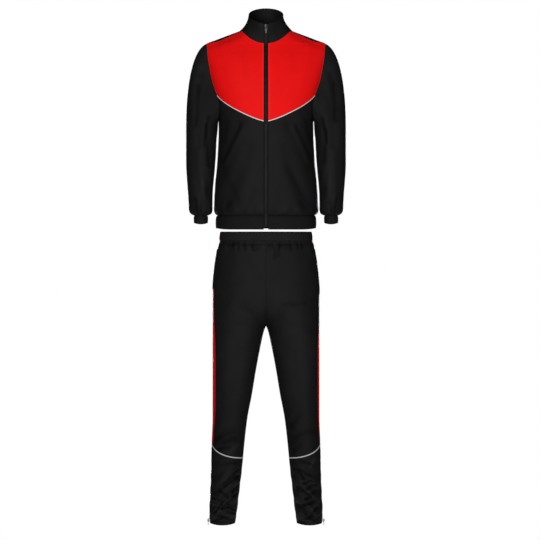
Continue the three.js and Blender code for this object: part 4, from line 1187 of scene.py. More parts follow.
def upper_grid(side, start, end, across, pipe_angle):
    """A panel from the waist seam to the piping: level rows between two edges, then rows that
    turn into the piping's line."""
    z = lerp(WAIST_TOP_Z, UPPER_LOW_Z, steps(690))[:-3, None]
    level = leg_cells(side, z, lerp(start(z), end(z), across))
    low = np.array(float(UPPER_LOW_Z))
    share = steps(45, spacing=4)[3:, None]
    share = np.concatenate([[[0]], share])
    angle = lerp(start(low), end(low), across)
    return joined(level, to_pipe(side, low, angle, pipe_angle, PIPE_TALL / 2, share))


PANEL_SEAMS = ("low", "high", "start")
PIPE_BACK = float(angle_beside(PIPE_OUTER_Z, -SIDE_BACK))
PIPE_ZIP = float(angle_beside(PIPE_OUTER_Z, SIDE_BACK))
PIPE_STRIPE = float(stripe_edge(LEFT, PIPE_OUTER_Z))


def back_edge(z):
    """The back edge of the side panel, and of the ankle zip's opening."""
    return angle_beside(z, -SIDE_BACK)


def zip_edge(z):
    """The front edge of the ankle zip's opening."""
    return angle_beside(z, SIDE_BACK)


def front_leg_grid(side):
    """The front panel above the piping."""
    across = steps(200)
    edge = lambda z: stripe_edge(side, z)
    return upper_grid(side, edge, inner_angle, across, lerp(PIPE_STRIPE, math.pi, across))


def back_leg_grid(side):
    """The back panel, from the waist seam to the hem."""
    across = steps(240)
    z = np.concatenate([
        lerp(WAIST_TOP_Z, BACK_FINE_Z, steps(740))[:-1],
        lerp(BACK_FINE_Z, TROUSER_END_Z, steps(244, spacing=STACK_SPACING))[3:],
    ])[:, None]
    return leg_cells(side, z, lerp(back_edge(z), -inner_angle(z), across))


def lower_leg_grid(side):
    """The front panel below the piping, with the ankle zip on its outer edge."""
    across = steps(150, spacing=STACK_SPACING)
    low = np.array(float(LOWER_TOP_Z))
    angle = lerp(zip_edge(low), math.pi, across)
    pipe_angle = lerp(PIPE_ZIP, math.pi, across)
    share = 1 - steps(40, spacing=STACK_SPACING)[:-3, None]
    turning = to_pipe(side, low, angle, pipe_angle, -PIPE_TALL / 2, share)
    z = lerp(LOWER_TOP_Z, TROUSER_END_Z, steps(226, spacing=STACK_SPACING))[:, None]
    return joined(turning, leg_cells(side, z, lerp(zip_edge(z), math.pi, across)))


def stripe_grid(side):
    """The red side panel, from the waist seam to the piping, with painted shade where it turns
    under the front panel."""
    across = steps(44)
    pipe_angle = lerp(PIPE_BACK, PIPE_STRIPE, across)
    edge = lambda z: stripe_edge(side, z)
    points, normals, shade = upper_grid(side, back_edge, edge, across, pipe_angle)
    return points, normals, shade + STRIPE_SHADE * near_edge(1 - across, STRIPE_SHADE_SHARE)


def waist_end_grid(side):
    """The side panel's end, which lies over the waistband at the side."""
    z = lerp(WAIST_BAND["z"][0], WAIST_SEAM_Z - 1, steps(34))[:, None]
    angle = side * (QUARTER + np.linspace(-WAIST_END_REACH, WAIST_END_REACH, 13))
    points = band_point(WAIST_BAND, z, angle)
    normals = grid_normal(points, vectors(0, 0, z))
    # The end's red is darkened evenly by WAIST_END_SHADE, a painted shade
    return points + normals * WAIST_END_LIFT, normals, np.full(points.shape[:2], WAIST_END_SHADE)


def calf_bead(side, bulge):
    """The piping round the calf."""
    angle = lerp(PIPE_BACK, math.pi, steps(190))
    turn = np.linspace(QUARTER, -QUARTER, 9)[:, None]
    z = pipe_height(angle) + PIPE_TALL / 2 * np.sin(turn)
    return bead(*leg_cells(side, z, angle + 0 * turn)[:2], bulge, turn)


def welt_grid(side):
    """The pocket's welt over the side panel, from the mouth to just past the front panel's
    edge. It comes down on the panel as the square of its width."""
    across = steps(30, spacing=3)
    z = lerp(POCKET_TOP_Z, WELT_END_Z[side], steps(160))[:, None]
    front = stripe_edge(side, z, WELT_OVER)
    points, normals, _ = leg_cells(side, z, lerp(angle_beside(z, POCKET_BACK), front, across))
    lift = lerp(SEAM_GAP + WELT_THICK, 0.5 * WELT_THICK, across**2)
    return points + normals * lift[..., None], normals


# Materials

CLOTH_SHINE = 0.05
LOOP_DEPTH = 0.25
LOOP_SLANT = 1.4
CLOUD_SCALE = 14
GRAIN_SCALE = 900
GRAIN_SHARE = 0.6
# Shades from a ridge to a trough, and how bright the cloth is there
FOLD_RANGE = (-3, 4.5, 1.45, 0.3)
FINE_KNIT = {"wale": 0.0007, "course": 0.0007, "rough": 0.5}


def group_tree(name, inputs, outputs):
    """An empty shader node group with named sockets, as {name: kind}."""
    tree = bpy.data.node_groups.new(name, "ShaderNodeTree")
    for direction, sockets in (("INPUT", inputs), ("OUTPUT", outputs)):
        for socket, kind in sockets.items():
            kind = f"NodeSocket{kind}"
            tree.interface.new_socket(name=socket, in_out=direction, socket_type=kind)
    return tree, tree.nodes.new("NodeGroupInput").outputs, tree.nodes.new("NodeGroupOutput")


def add_node(tree, kind, inputs, **settings):
    """A shader node with its settings. Each input is linked to a socket or given a value."""
    node = tree.nodes.new(f"ShaderNode{kind}")
    for key, value in settings.items():
        setattr(node, key, value)
    fill_sockets(tree, node, inputs)
    return node


def fill_sockets(tree, node, inputs):
    """Links each named input to a socket, or gives it a value."""
    for key, value in inputs.items():
        if isinstance(value, bpy.types.NodeSocket):
            tree.links.new(value, node.inputs[key])
        else:
            node.inputs[key].default_value = value


def calculate(tree, operation, *operands):
    """A math node's output. Each operand is a socket or a number."""
    return add_node(tree, "Math", dict(enumerate(operands)), operation=operation).outputs[0]


def noise(tree, place, scale, detail=2):
    """A noise texture's value over a place socket."""
    inputs = {"Vector": place, "Scale": scale, "Detail": detail}
    return add_node(tree, "TexNoise", inputs).outputs["Fac"]


def knit_group():
    """Fine knit: columns of loops a wale apart, which bend as small V shapes along each
    column, with slow clouds of tone over the cloth, and less light in its folds."""
    inputs = {"Cloth": "Vector", "Fold": "Float", "Wale": "Float", "Course": "Float"}
    outputs = dict.fromkeys(("Height", "Tone", "Clouds", "Shade"), "Float")
    tree, given, out = group_tree("Knit", inputs, outputs)
    split = add_node(tree, "SeparateXYZ", {0: given["Cloth"]}).outputs
    column = calculate(tree, "DIVIDE", split["X"], given["Wale"])
    row = calculate(tree, "DIVIDE", split["Y"], given["Course"])
    within = calculate(tree, "PINGPONG", column, 0.5)
    slanted = calculate(tree, "ADD", row, calculate(tree, "MULTIPLY", within, LOOP_SLANT))
    loops = calculate(tree, "SINE", calculate(tree, "MULTIPLY", slanted, TURN))
    rounded = calculate(tree, "SINE", calculate(tree, "MULTIPLY", within, TURN))
    relief = calculate(tree, "MULTIPLY_ADD", loops, LOOP_DEPTH, 0.5)
    clouds = noise(tree, given["Cloth"], CLOUD_SCALE, 3)
    grain = noise(tree, given["Cloth"], GRAIN_SCALE)
    grain = calculate(tree, "MULTIPLY", grain, GRAIN_SHARE)
    results = {
        "Shade": ranged(tree, given["Fold"], *FOLD_RANGE),
        "Height": calculate(tree, "MULTIPLY", rounded, relief),
        "Tone": calculate(tree, "ADD", grain, calculate(tree, "MULTIPLY", clouds, 1 - GRAIN_SHARE)),
        "Clouds": clouds,
    }
    fill_sockets(tree, out, results)
    return tree


def new_material(name):
    """A material, its node tree and its Principled shader."""
    material = bpy.data.materials.new(name)
    material.use_nodes = True
    return material, material.node_tree, material.node_tree.nodes["Principled BSDF"]


def object_place(tree):
    """The object's own coordinates."""
    return add_node(tree, "TexCoord", {}).outputs["Object"]


def mixed_colour(tree, factor, low, high):
    """A colour between two by a factor socket."""
    inputs = {0: factor, 6: (*low, 1), 7: (*high, 1)}
    return add_node(tree, "Mix", inputs, data_type="RGBA").outputs[2]


def ranged(tree, value, low, high, to_low, to_high):
    """A value carried from one range to another."""
    inputs = {"Value": value, "From Min": low, "From Max": high}
    inputs.update({"To Min": to_low, "To Max": to_high})
    return add_node(tree, "MapRange", inputs).outputs["Result"]


def bump(tree, height, distance, strength):
    """A normal from a height."""
    inputs = {"Height": height, "Distance": distance, "Strength": strength}
    return add_node(tree, "Bump", inputs).outputs["Normal"]


def scaled(colour, factor):
    """A colour made lighter or darker by a factor, and no channel above 1."""
    return [min(channel * factor, 1) for channel in colour]


def knit_material(name, colour, wale=0.0011, course=0.0009, rough=0.55, vary=0.22):
    """Knitted cloth: a colour that varies a little and carries painted shade in folds, and
    the loops' relief."""
    material, tree, shader = new_material(name)
    group = bpy.data.node_groups.get("Knit") or knit_group()
    inputs = {
        "Cloth": add_node(tree, "UVMap", {}, uv_map="cloth").outputs["UV"],
        "Fold": add_node(tree, "Attribute", {}, attribute_name="fold").outputs["Fac"],
        "Wale": wale,
        "Course": course,
    }
    knit = tree.nodes.new("ShaderNodeGroup")
    knit.node_tree = group
    fill_sockets(tree, knit, inputs)
    knit = knit.outputs
    tone = ranged(tree, knit["Tone"], 0.35, 0.65, 0, 1)
    base = mixed_colour(tree, tone, scaled(colour, 1 - vary), scaled(colour, 1 + vary))
    # Painted shade of the folds: the colour is scaled down in troughs, and up on ridges as a
    # painted highlight
    shaded = add_node(tree, "VectorMath", {0: base, "Scale": knit["Shade"]}, operation="SCALE")
    looks = {
        "Base Color": shaded.outputs[0],
        "Roughness": ranged(tree, knit["Clouds"], 0.3, 0.7, rough - 0.05, rough + 0.05),
        "Specular IOR Level": CLOTH_SHINE,
        "Normal": bump(tree, knit["Height"], 0.00012, 0.5),
    }
    fill_sockets(tree, shader, looks)
    return material


def metal_material(name, colour):
    """Cast metal with fine scratches and duller patches."""
    material, tree, shader = new_material(name)
    place = object_place(tree)
    scratches = noise(tree, place, 1400, 4)
    patches = ranged(tree, noise(tree, place, 160), 0.35, 0.65, 0, 1)
    looks = {
        "Metallic": 1,
        "Base Color": mixed_colour(tree, patches, scaled(colour, 0.75), colour),
        "Roughness": ranged(tree, scratches, 0.3, 0.7, 0.28, 0.46),
        "Normal": bump(tree, scratches, 0.00004, 0.4),
    }
    fill_sockets(tree, shader, looks)
    return material


def plastic_material(name, colour):
    """Moulded plastic with a faint mottle."""
    material, tree, shader = new_material(name)
    mottle = noise(tree, object_place(tree), 700)
    looks = {
        "Base Color": mixed_colour(tree, mottle, colour, scaled(colour, 1.5)),
        "Roughness": ranged(tree, mottle, 0.3, 0.7, 0.38, 0.5),
        "Specular IOR Level": 0.4,
    }
    fill_sockets(tree, shader, looks)
    return material


LOOKS = {
    "black knit": (knit_material, "black", {}),
    "red knit": (knit_material, "red", {"vary": 0.05}),
    "black band": (knit_material, "band", {"wale": 0.0016, "rough": 0.7}),
    "waist band": (knit_material, "waist", {"wale": 0.0016, "rough": 0.7}),
    "white piping": (knit_material, "yoke_piping", {**FINE_KNIT, "vary": 0.04}),
    "grey piping": (knit_material, "calf_piping", {**FINE_KNIT, "vary": 0.06}),
    "zip tape": (knit_material, "tape", {"wale": 0.0008, "course": 0.0022, "rough": 0.75}),
    "thread": (knit_material, "thread", {"wale": 0.0005, "rough": 0.6}),
    "red thread": (knit_material, "red_thread", {"wale": 0.0005, "rough": 0.6}),
    "zip teeth": (plastic_material, "teeth", {}),
    "zip metal": (metal_material, "metal", {}),
}


def material_named(name):
    """One of the set's materials, made when it is first asked for."""
    if name in bpy.data.materials:
        return bpy.data.materials[name]
    maker, key, options = LOOKS[name]
    return maker(name, getattr(bpy.context.scene.tracksuit_colours, key), **options)


# Settings

def colour(label, description, *value):
    """A linear colour property."""
    return FloatVectorProperty(
        name=label, description=description, default=value, size=3, subtype="COLOR", min=0, max=1
    )


def length(label, description, value):
    """A length property in metres."""
    return FloatProperty(
        name=label, description=description, default=value, min=0, subtype="DISTANCE", unit="LENGTH"
    )


def number(label, description, value, unit="LENGTH"):
    """A property that may be negative, or has another unit than metres."""
    return FloatProperty(name=label, description=description, default=value, unit=unit)


class TracksuitColours(bpy.types.PropertyGroup):
    """The colours of the cloths and the zips."""

    black: colour("Black knit", "Main colour of the set", 0.0086, 0.0086, 0.0088)
    red: colour("Red knit", "Colour of the yoke and the side panels", 0.735, 0.0043, 0.0045)
    band: colour("Black bands", "Colour of the hem band and the cuffs", 0.0074, 0.0074, 0.0076)
    waist: colour("Waistband", "Colour of the waistband", 0.0108, 0.0108, 0.011)
    yoke_piping: colour("Yoke piping", "Colour of the piping on the chest", 0.68, 0.66, 0.66)
    calf_piping: colour("Calf piping", "Colour of the piping below the knees", 0.36, 0.36, 0.37)
    tape: colour("Zip tape", "Colour of the woven tapes", 0.0082, 0.0082, 0.0086)
    teeth: colour("Zip teeth", "Colour of the teeth", 0.0095, 0.0095, 0.0105)
    metal: colour("Zip metal", "Colour of sliders and pull tabs", 0.066, 0.067, 0.074)
    thread: colour("Thread", "Colour of the stitching", 0.021, 0.021, 0.0215)
    # Lighter than the red knit, partly as a painted highlight along the yoke's edges
    red_thread: colour("Red thread", "Colour of the yoke's stitching", 0.85, 0.05, 0.05)


class TracksuitSizes(bpy.types.PropertyGroup):
    """The sizes of the small parts."""

    piping_bulge: length("Piping bulge", "How far the piping stands proud", 0.0009)
    tooth_pitch: length("Tooth pitch", "Distance between zip teeth", 0.0021)
    stitch_length: length("Stitch length", "Length of one stitch", 0.0034)
    rib_depth: length("Rib depth", "Depth of the ribs in the elastic bands", 0.0005)


class TracksuitStage(bpy.types.PropertyGroup):
    """The camera and the lights."""

    camera_distance: length("Camera distance", "How far in front the camera stands", 40)
    frame_height: length("Frame height", "Height of the picture at the set", 1.89)
    camera_x: number("Camera across", "The camera's place across", 0.014)
    camera_z: number("Camera height", "The camera's height", -0.838)
    floor_z: number("Floor height", "Height of the floor", -1.96)
    key: number("Key light", "Power of the main soft light", 112, "POWER")
    fill: number("Fill light", "Power of the second soft light", 63, "POWER")
    back: number("Back light", "Power of each light behind", 210, "POWER")
    around: number("Light from all round", "Strength of the surroundings", 0.25, "NONE")


# Operators

class TracksuitOperator:
    """What every operator of the set shares."""

    bl_options = {"REGISTER", "UNDO"}


LIGHT_TARGET = (0, 0, -0.6)
# Each light's setting, its size and its place
LIGHTS = (
    ("key", 2.0, (-1.5, -4.4, 0.3)),
    ("fill", 2.4, (1.5, -3.4, -1.0)),
    ("back", 1.0, (-0.9, 5.5, -0.5)),
    ("back", 1.0, (0.9, 5.5, -0.5)),
)
FLOOR_RADIUS = (0.001, 1.25)
FLOOR_RINGS = 12
FLOOR_COLUMNS = 64


def area_light(name, power, size, place):
    """A square soft light that points at the set."""
    light = bpy.data.lights.new(name, "AREA")
    light.energy = power
    light.size = size
    item = bpy.data.objects.new(name, light)
    collection().objects.link(item)
    item.location = place
    aim = Vector(LIGHT_TARGET) - Vector(place)
    item.rotation_euler = aim.to_track_quat("-Z", "Y").to_euler()


class TRACKSUIT_OT_stage(TracksuitOperator, bpy.types.Operator):
    """Adds the floor, the soft lights, the pale surroundings and the camera"""

    bl_idname = "tracksuit.stage"
    bl_label = "Stage"

    def execute(self, context):
        stage = context.scene.tracksuit_stage
        data = bpy.data.cameras.new("camera")
        data.sensor_width = 36
        data.lens = data.sensor_width * stage.camera_distance / stage.frame_height
        data.clip_end = 200
        camera = bpy.data.objects.new("camera", data)
        collection().objects.link(camera)
        camera.location = (stage.camera_x, -stage.camera_distance, stage.camera_z)
        camera.rotation_euler = (QUARTER, 0, 0)
        context.scene.camera = camera
        for name, size, place in LIGHTS:
            area_light(f"{name} light", getattr(stage, name), size, place)
        self.add_floor(stage.floor_z)
        self.add_world(context.scene)
        context.scene.view_settings.view_transform = "Standard"
        return {"FINISHED"}

    def add_floor(self, z):
        """A round pale floor: rings of points round the middle."""
        radius = np.linspace(*FLOOR_RADIUS, FLOOR_RINGS)[:, None]
        angle = np.arange(FLOOR_COLUMNS) * TURN / FLOOR_COLUMNS
        points = vectors(radius * np.cos(angle), radius * np.sin(angle), z) / MM
        spans = np.arange(FLOOR_RINGS - 1), np.arange(FLOOR_COLUMNS)
        i, j = (index.ravel() for index in np.meshgrid(*spans, indexing="ij"))
        index = lambda row, column: row * FLOOR_COLUMNS + column % FLOOR_COLUMNS
        faces = np.stack([index(i, j), index(i + 1, j), index(i + 1, j + 1), index(i, j + 1)], 1)
        floor = add_mesh("floor", points, faces)
        material, tree, shader = new_material("pale floor")
        grain = noise(tree, object_place(tree), 60)
        looks = {
            "Base Color": mixed_colour(tree, grain, (0.8, 0.8, 0.8), (0.86, 0.86, 0.86)),
            "Roughness": 0.8,
            "Emission Color": (1, 1, 1, 1),
            "Emission Strength": 0.35,
        }
        fill_sockets(tree, shader, looks)
        floor.data.materials.append(material)

    def add_world(self, scene):
        """White behind the set, a dimmer soft light from all round, and less of it in the
        cloth's gloss, which keeps its edges dark."""
        scene.world = bpy.data.worlds.new("surroundings")
        scene.world.use_nodes = True
        tree = scene.world.node_tree
        soft = tree.nodes["Background"]
        lit = {"Color": (1, 1, 1, 1), "Strength": scene.tracksuit_stage.around}
        fill_sockets(tree, soft, lit)
        white = add_node(tree, "Background", {"Color": (1, 1, 1, 1), "Strength": 1.0})
        dim = add_node(tree, "Background", {"Strength": 0.03})
        paths = add_node(tree, "LightPath", {}).outputs
        inputs = {0: paths["Is Glossy Ray"], 1: soft.outputs[0], 2: dim.outputs[0]}
        dimmed = add_node(tree, "MixShader", inputs)
        inputs = {0: paths["Is Camera Ray"], 1: dimmed.outputs[0], 2: white.outputs[0]}
        chosen = add_node(tree, "MixShader", inputs)
        fill_sockets(tree, tree.nodes["World Output"], {"Surface": chosen.outputs[0]})


class TRACKSUIT_OT_jacket_body(TracksuitOperator, bpy.types.Operator):
    """Adds the jacket's back, lower fronts and yokes"""

    bl_idname = "tracksuit.jacket_body"
    bl_label = "Jacket body"

    def execute(self, context):
        back = cloth("jacket-back", back_grid(), "black knit", "black_knit", ["jacket_back"])
        for side, name in SIDES:
            nodes = [f"jacket_yoke_{name}"]
            yoke = cloth(f"yoke-{name}", yoke_grid(side), "red knit", "red_knit", nodes)
            nodes = [f"jacket_front_{name}"]
            grid = lower_front_grid(side)
            front = cloth(f"lower-front-{name}", grid, "black knit", "black_knit", nodes)
        return {"FINISHED"}


class TRACKSUIT_OT_yoke_piping(TracksuitOperator, bpy.types.Operator):
    """Adds the light piping in the chevron seam"""

    bl_idname = "tracksuit.yoke_piping"
    bl_label = "Yoke piping"

    def execute(self, context):
        bulge = context.scene.tracksuit_sizes.piping_bulge / MM
        for side, name in SIDES:
            piping = f"yoke-piping-{name}"
            grid = chevron_bead(side, bulge)
            cloth(piping, grid, "white piping", "white_piping", [f"yoke_piping_{name}"], soft=0.1)
        return {"FINISHED"}


class TRACKSUIT_OT_collar(TracksuitOperator, bpy.types.Operator):
    """Adds the stand collar"""

    bl_idname = "tracksuit.collar"
    bl_label = "Collar"

    def execute(self, context):
        walls = {"seams": ("low",), "soft": 0.95}
        collar = cloth("collar", collar_grid(), "black knit", "black_knit", ["collar"], **walls)
        return {"FINISHED"}


class TRACKSUIT_OT_sleeves(TracksuitOperator, bpy.types.Operator):
    """Adds both sleeves"""

    bl_idname = "tracksuit.sleeves"
    bl_label = "Sleeves"

    def execute(self, context):
        for side, name in SIDES:
            nodes = [f"sleeve_front_{name}", f"sleeve_back_{name}"]
            grid = sleeve_grid(side)
            sleeve = cloth(f"sleeve-{name}", grid, "black knit", "black_knit", nodes, wrap=True)
        return {"FINISHED"}


class TRACKSUIT_OT_bands(TracksuitOperator, bpy.types.Operator):
    """Adds the cuffs, the hem band and the waistband"""

    bl_idname = "tracksuit.bands"
    bl_label = "Elastic bands"

    def execute(self, context):
        for side, name in SIDES:
            middle = (side * CUFF_MIDDLE[0], CUFF_MIDDLE[1])
            grid = band_grid(CUFF_BAND, 132, middle=middle, roundness=SLEEVE_ROUND)
            points, _, angle, z = grid
            outside = np.cos(angle) ** 2
            points[..., 2] += CUFF_DIP * (CUFF_LEVEL - outside) * lower_share(CUFF_BAND, z)
            cuff = self.add_band(f"cuff-{name}", grid, *CUFF_RIBS, "black band", f"cuff_{name}")
        grid = band_grid(HEM_BAND, 420, roundness=BAND_ROUND, start=ZIP_EDGE)
        points, _, angle, z = grid
        front = clamp(HEM_FRONT * np.cos(angle))
        front = front * (1 - HEM_SIDE_LIFT * np.sin(angle) ** 10)
        points[..., 2] -= HEM_BAND_DIP * front * lower_share(HEM_BAND, z)
        hem = self.add_band("hem-band", grid, *HEM_RIBS, "black band", "hem_band")
        grid = band_grid(WAIST_BAND, 480)
        waist = self.add_band("waistband", grid, *WAIST_RIBS, "waist band", "waistband")
        return {"FINISHED"}

    def add_band(self, name, grid, share, ribs, look, node):
        """A band whose ribs are uneven cosines round it, which fade at its edges."""
        points, normals, angle, _ = grid
        depth = share * bpy.context.scene.tracksuit_sizes.rib_depth / MM
        drift = 0.8 * np.sin(5 * angle + 1) + 0.5 * np.sin(11 * angle)
        strength = 0.65 + 0.35 * np.sin(7 * angle + 2)
        rows = np.arange(len(points))
        level = clamp(np.minimum(rows, rows[::-1])[:, None] / 3)
        wave = depth * strength * np.cos(ribs * angle + drift) * level
        closed = angle.ndim == 1
        walls = {"wrap": closed, "seams": () if closed else ("start", "end")}
        ribbed = points + normals * wave[..., None], normals
        return cloth(name, ribbed, look, "black_rib", [node], thick=BAND_WALL, soft=1.2, **walls)


class TRACKSUIT_OT_legs(TracksuitOperator, bpy.types.Operator):
    """Adds the trousers' fronts, backs and lower fronts"""

    bl_idname = "tracksuit.legs"
    bl_label = "Trouser legs"

    def execute(self, context):
        for side, name in SIDES:
            front = self.add_panel("trouser-front", name, front_leg_grid(side), PANEL_SEAMS)
            back = self.add_panel("trouser-back", name, back_leg_grid(side), PANEL_SEAMS)
            lower = self.add_panel("lower-leg", name, lower_leg_grid(side))
        return {"FINISHED"}

    def add_panel(self, kind, name, grid, seams=None):
        """A black panel, whose solid has the same name with underscores."""
        name = f"{kind}-{name}"
        nodes = [name.replace("-", "_")]
        return cloth(name, grid, "black knit", "black_knit", nodes, seams=seams)


class TRACKSUIT_OT_side_panels(TracksuitOperator, bpy.types.Operator):
    """Adds the red side panels, the pocket welts and the calf piping"""

    bl_idname = "tracksuit.side_panels"
    bl_label = "Side panels"

    def execute(self, context):
        bulge = context.scene.tracksuit_sizes.piping_bulge / MM
        for side, name in SIDES:
            stripe = shell(f"side-panel-{name}", *stripe_grid(side))
            end = shell("waist end", *waist_end_grid(side), thick=0.7, seams=(), soft=0.3)
            pieces = [stripe, end]
            with context.temp_override(active_object=stripe, selected_editable_objects=pieces):
                bpy.ops.object.join()
            finish_piece(stripe, "red knit", [f"side_stripe_{name}"])
            walls = {"thick": WELT_THICK, "seams": (), "soft": 0.5}
            nodes = [f"pocket_welt_{name}"]
            grid = welt_grid(side)
            welt = cloth(f"pocket-welt-{name}", grid, "black knit", "black_knit", nodes, **walls)
            piping = f"calf-piping-{name}"
            grid = calf_bead(side, bulge)
            cloth(piping, grid, "grey piping", "grey_piping", [f"calf_piping_{name}"], soft=0.1)
        return {"FINISHED"}


def front_path(high, low, spacing, proud=0.0):
    """A path down the middle of the jacket's front, with its normals."""
    z = np.linspace(high, low, max(3, int(abs(high - low) / spacing)))
    path = vectors(0, FRONT_LINE.y(z) - proud, z)
    return path, unit(vectors(0, -1, np.gradient(path[:, 1], z)))


def zip_tape(name, points, normals, node):
    """A woven tape."""
    walls = {"thick": TAPE_THICK, "seams": (), "soft": 0.3}
    return cloth(name, (points, normals), "zip tape", "zip_tape", [node], **walls)


def zip_tooth():
    """A zip tooth: a bar across the chain with a rounded head, from -1 to 1 along x."""
    x = np.array([-1.0, -0.35, 0.3, 0.8, 1.0])
    wide = np.array([0.34, 0.3, 0.42, 0.36, 0.16])
    tall = np.array([0.75, 0.85, 1.0, 0.85, 0.4])
    ring = np.array([[-1, -1], [-1, 0.55], [-0.55, 1], [0.55, 1], [1, 0.55], [1, -1]])
    points = vectors(
        x[:, None] + 0 * ring[:, 0], wide[:, None] * ring[:, 0], tall[:, None] * ring[:, 1]
    ).reshape(-1, 3)
    faces = []
    for section in range(4):
        for k in range(6):
            a, b = section * 6 + k, section * 6 + (k + 1) % 6
            faces.append([a, a + 6, b + 6, b])
    faces += [[0, 1, 2, 3], [0, 3, 4, 5], [27, 26, 25, 24], [29, 28, 27, 24]]
    return points, faces


ZIP_TOOTH = zip_tooth()
# Shares of the chain's half width and of the pitch
TOOTH_SIDE = 0.28
TOOTH_LONG = 0.72
TOOTH_WIDE = 0.6


def zip_teeth(name, path, normals, tall, node):
    """Interlocking teeth down a path: each reaches past the middle from its own side."""
    pitch = bpy.context.scene.tracksuit_sizes.tooth_pitch / MM
    places, outward = resampled(path, normals, pitch / 2)
    _, across, up = np.moveaxis(path_frames(places, unit(outward)), 1, 0)
    hand = np.where(np.arange(len(places)) % 2 == 0, 1.0, -1.0)[:, None]
    toward = -across * hand
    frames = np.stack([toward, np.cross(up, toward), up], axis=1)
    centre = places + across * hand * CHAIN_HALF * TOOTH_SIDE
    size = [CHAIN_HALF * TOOTH_LONG, pitch * TOOTH_WIDE, tall]
    teeth = add_mesh(name, *repeated(*ZIP_TOOTH, centre, frames, size), sharp=35)
    return finish_piece(teeth, "zip teeth", [node])


def softened(node, name, width, body="suit"):
    """A metal part: a copy of a CAD node's mesh with its points joined, flat faces merged and
    its edges bevelled by a width in metres."""
    mesh = bpy.data.meshes.new(name)
    work = bmesh.new()
    work.from_mesh(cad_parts[node].data)
    bmesh.ops.remove_doubles(work, verts=work.verts, dist=2e-6)
    flat = math.radians(2)
    bmesh.ops.dissolve_limit(work, angle_limit=flat, verts=work.verts, edges=work.edges)
    work.to_mesh(mesh)
    work.free()
    piece = bpy.data.objects.new(name, mesh)
    collection().objects.link(piece)
    bevel = piece.modifiers.new("rounded edges", "BEVEL")
    bevel.width = width
    bevel.segments = 3
    bevel.limit_method = "ANGLE"
    bevel.angle_limit = math.radians(25)
    for face in mesh.polygons:
        face.use_smooth = True
    mesh.set_sharp_from_angle(angle=math.radians(60))
    return finish_piece(piece, "zip metal", [node], body)


class TRACKSUIT_OT_front_zip(TracksuitOperator, bpy.types.Operator):
    """Adds the front zip's tapes, teeth, slider and pull tab"""

    bl_idname = "tracksuit.front_zip"
    bl_label = "Front zip"

    def execute(self, context):
        path, _ = front_path(ZIP_TOP_Z, ZIP_LOW_Z, 5)
        for side, name in SIDES:
            low, high = sorted((side * (CHAIN_HALF + SEAM_GAP), side * (ZIP_EDGE - SEAM_GAP)))
            points = vectors(np.linspace(low, high, 7), path[:, 1:2], path[:, 2:])
            outward = np.broadcast_to([0.0, -1.0, 0.0], points.shape)
            tape = zip_tape(f"zip-tape-{name}", points, outward, f"zip_tape_{name}")
        path, normals = front_path(*FRONT_TEETH_Z, 3, proud=-0.1)
        zip_teeth("zip-teeth", path, normals, FRONT_TOOTH_TALL, "zip_chain")
        softened("zip_slider", "front-slider", SLIDER_BEVEL)
        softened("zip_pull", "front-pull-tab", PULL_BEVEL, "main_pull")
        return {"FINISHED"}


class TRACKSUIT_OT_ankle_zips(TracksuitOperator, bpy.types.Operator):
    """Adds the ankle zips' tapes, teeth, sliders and pull tabs"""

    bl_idname = "tracksuit.ankle_zips"
    bl_label = "Ankle zips"

    def execute(self, context):
        for side, name in SIDES:
            z = np.linspace(ANKLE_ZIP_TOP_Z, ANKLE_ZIP_LOW_Z, 90)[:, None]
            across = np.linspace(-ANKLE_TAPE_HALF, ANKLE_TAPE_HALF, 9)
            points, normals, _ = leg_cells(side, z, angle_beside(z, across))
            node = f"ankle_zip_{name}"
            tape = zip_tape(f"ankle-tape-{name}", points, normals, node)
            z = np.linspace(*ANKLE_TEETH_Z, 90)
            points, normals, _ = leg_cells(side, z, angle_beside(z, 0))
            points = points + normals * ANKLE_TEETH_PROUD
            zip_teeth(f"ankle-teeth-{name}", points, normals, ANKLE_TOOTH_TALL, node)
            softened(f"ankle_slider_{name}", f"ankle-slider-{name}", SLIDER_BEVEL)
            body = f"{name}_ankle_pull"
            softened(f"ankle_pull_{name}", f"ankle-pull-tab-{name}", PULL_BEVEL, body)
        return {"FINISHED"}


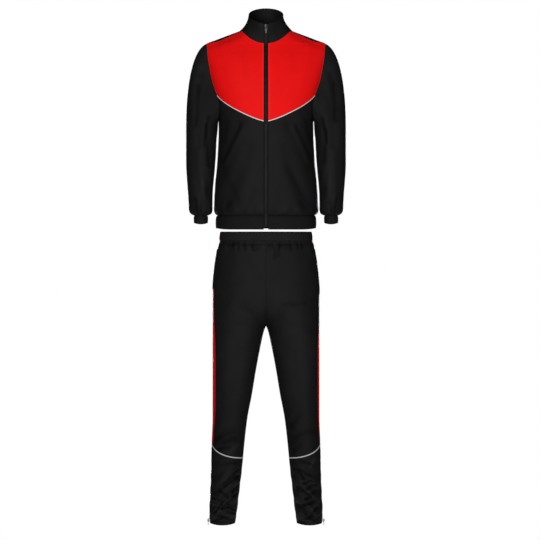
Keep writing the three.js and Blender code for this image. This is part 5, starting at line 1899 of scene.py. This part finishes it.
class TRACKSUIT_OT_stitching(TracksuitOperator, bpy.types.Operator):
    """Adds the rows of stitches on the yokes' edges, below the waist and on the leg hems"""

    bl_idname = "tracksuit.stitching"
    bl_label = "Stitching"

    def execute(self, context):
        edges = []
        for side, _ in SIDES:
            points, normals, _ = yoke_grid(side)
            for column in YOKE_STITCH_COLUMNS:
                outward = normals[:, column]
                edges.append((points[:, column] + outward * RED_THREAD_PROUD, outward))
        stitches("yoke-stitching", edges, "red thread")
        rows = []
        for distance in WAIST_STITCH_ROWS:
            height = WAIST_SEAM_Z - distance
            reach = float(inner_angle(height))
            rows += [self.row(side, height, -reach, reach, 260) for side, _ in SIDES]
        stitches("waist-stitching", rows, "thread")
        height = TROUSER_END_Z + HEM_STITCH_UP
        start = float(angle_beside(height, SIDE_BACK + 3))
        ends = ((start, math.pi), (-start, -math.pi))
        hems = [self.row(side, height, *turns, 120) for side, _ in SIDES for turns in ends]
        stitches("leg-hem-stitching", hems, "thread")
        return {"FINISHED"}

    def row(self, side, height, start, end, count):
        """A path round a leg at one height, from one angle to another, and its normals."""
        cells = leg_cells(side, np.full(count, height), np.linspace(start, end, count))
        return cells[0] + cells[1] * THREAD_PROUD, cells[1]


OPERATORS = (
    TRACKSUIT_OT_stage,
    TRACKSUIT_OT_jacket_body,
    TRACKSUIT_OT_yoke_piping,
    TRACKSUIT_OT_collar,
    TRACKSUIT_OT_sleeves,
    TRACKSUIT_OT_bands,
    TRACKSUIT_OT_front_zip,
    TRACKSUIT_OT_legs,
    TRACKSUIT_OT_side_panels,
    TRACKSUIT_OT_ankle_zips,
    TRACKSUIT_OT_stitching,
)


class TRACKSUIT_PT_panel(bpy.types.Panel):
    """Lists the pieces of the set and their settings"""

    bl_idname = "TRACKSUIT_PT_panel"
    bl_label = "Tracksuit"
    bl_space_type = "VIEW_3D"
    bl_region_type = "UI"
    bl_category = "Tracksuit"

    def draw(self, context):
        for operator in OPERATORS:
            self.layout.operator(operator.bl_idname)
        for group in ("tracksuit_colours", "tracksuit_sizes", "tracksuit_stage"):
            settings = getattr(context.scene, group)
            box = self.layout.box()
            for name in settings.__annotations__:
                box.prop(settings, name)


GROUPS = {
    "tracksuit_colours": TracksuitColours,
    "tracksuit_sizes": TracksuitSizes,
    "tracksuit_stage": TracksuitStage,
}
CLASSES = (*GROUPS.values(), *OPERATORS, TRACKSUIT_PT_panel)


def register():
    """Registers the classes and the scene's settings."""
    for item in CLASSES:
        bpy.utils.register_class(item)
    for name, group in GROUPS.items():
        setattr(bpy.types.Scene, name, PointerProperty(type=group))


def unregister():
    """Takes back what register adds."""
    for name in GROUPS:
        delattr(bpy.types.Scene, name)
    for item in reversed(CLASSES):
        bpy.utils.unregister_class(item)


def main():
    """Builds the set in order."""
    register()
    for operator in OPERATORS:
        group, name = operator.bl_idname.split(".")
        getattr(getattr(bpy.ops, group), name)()


if __name__ == "__main__":
    main()
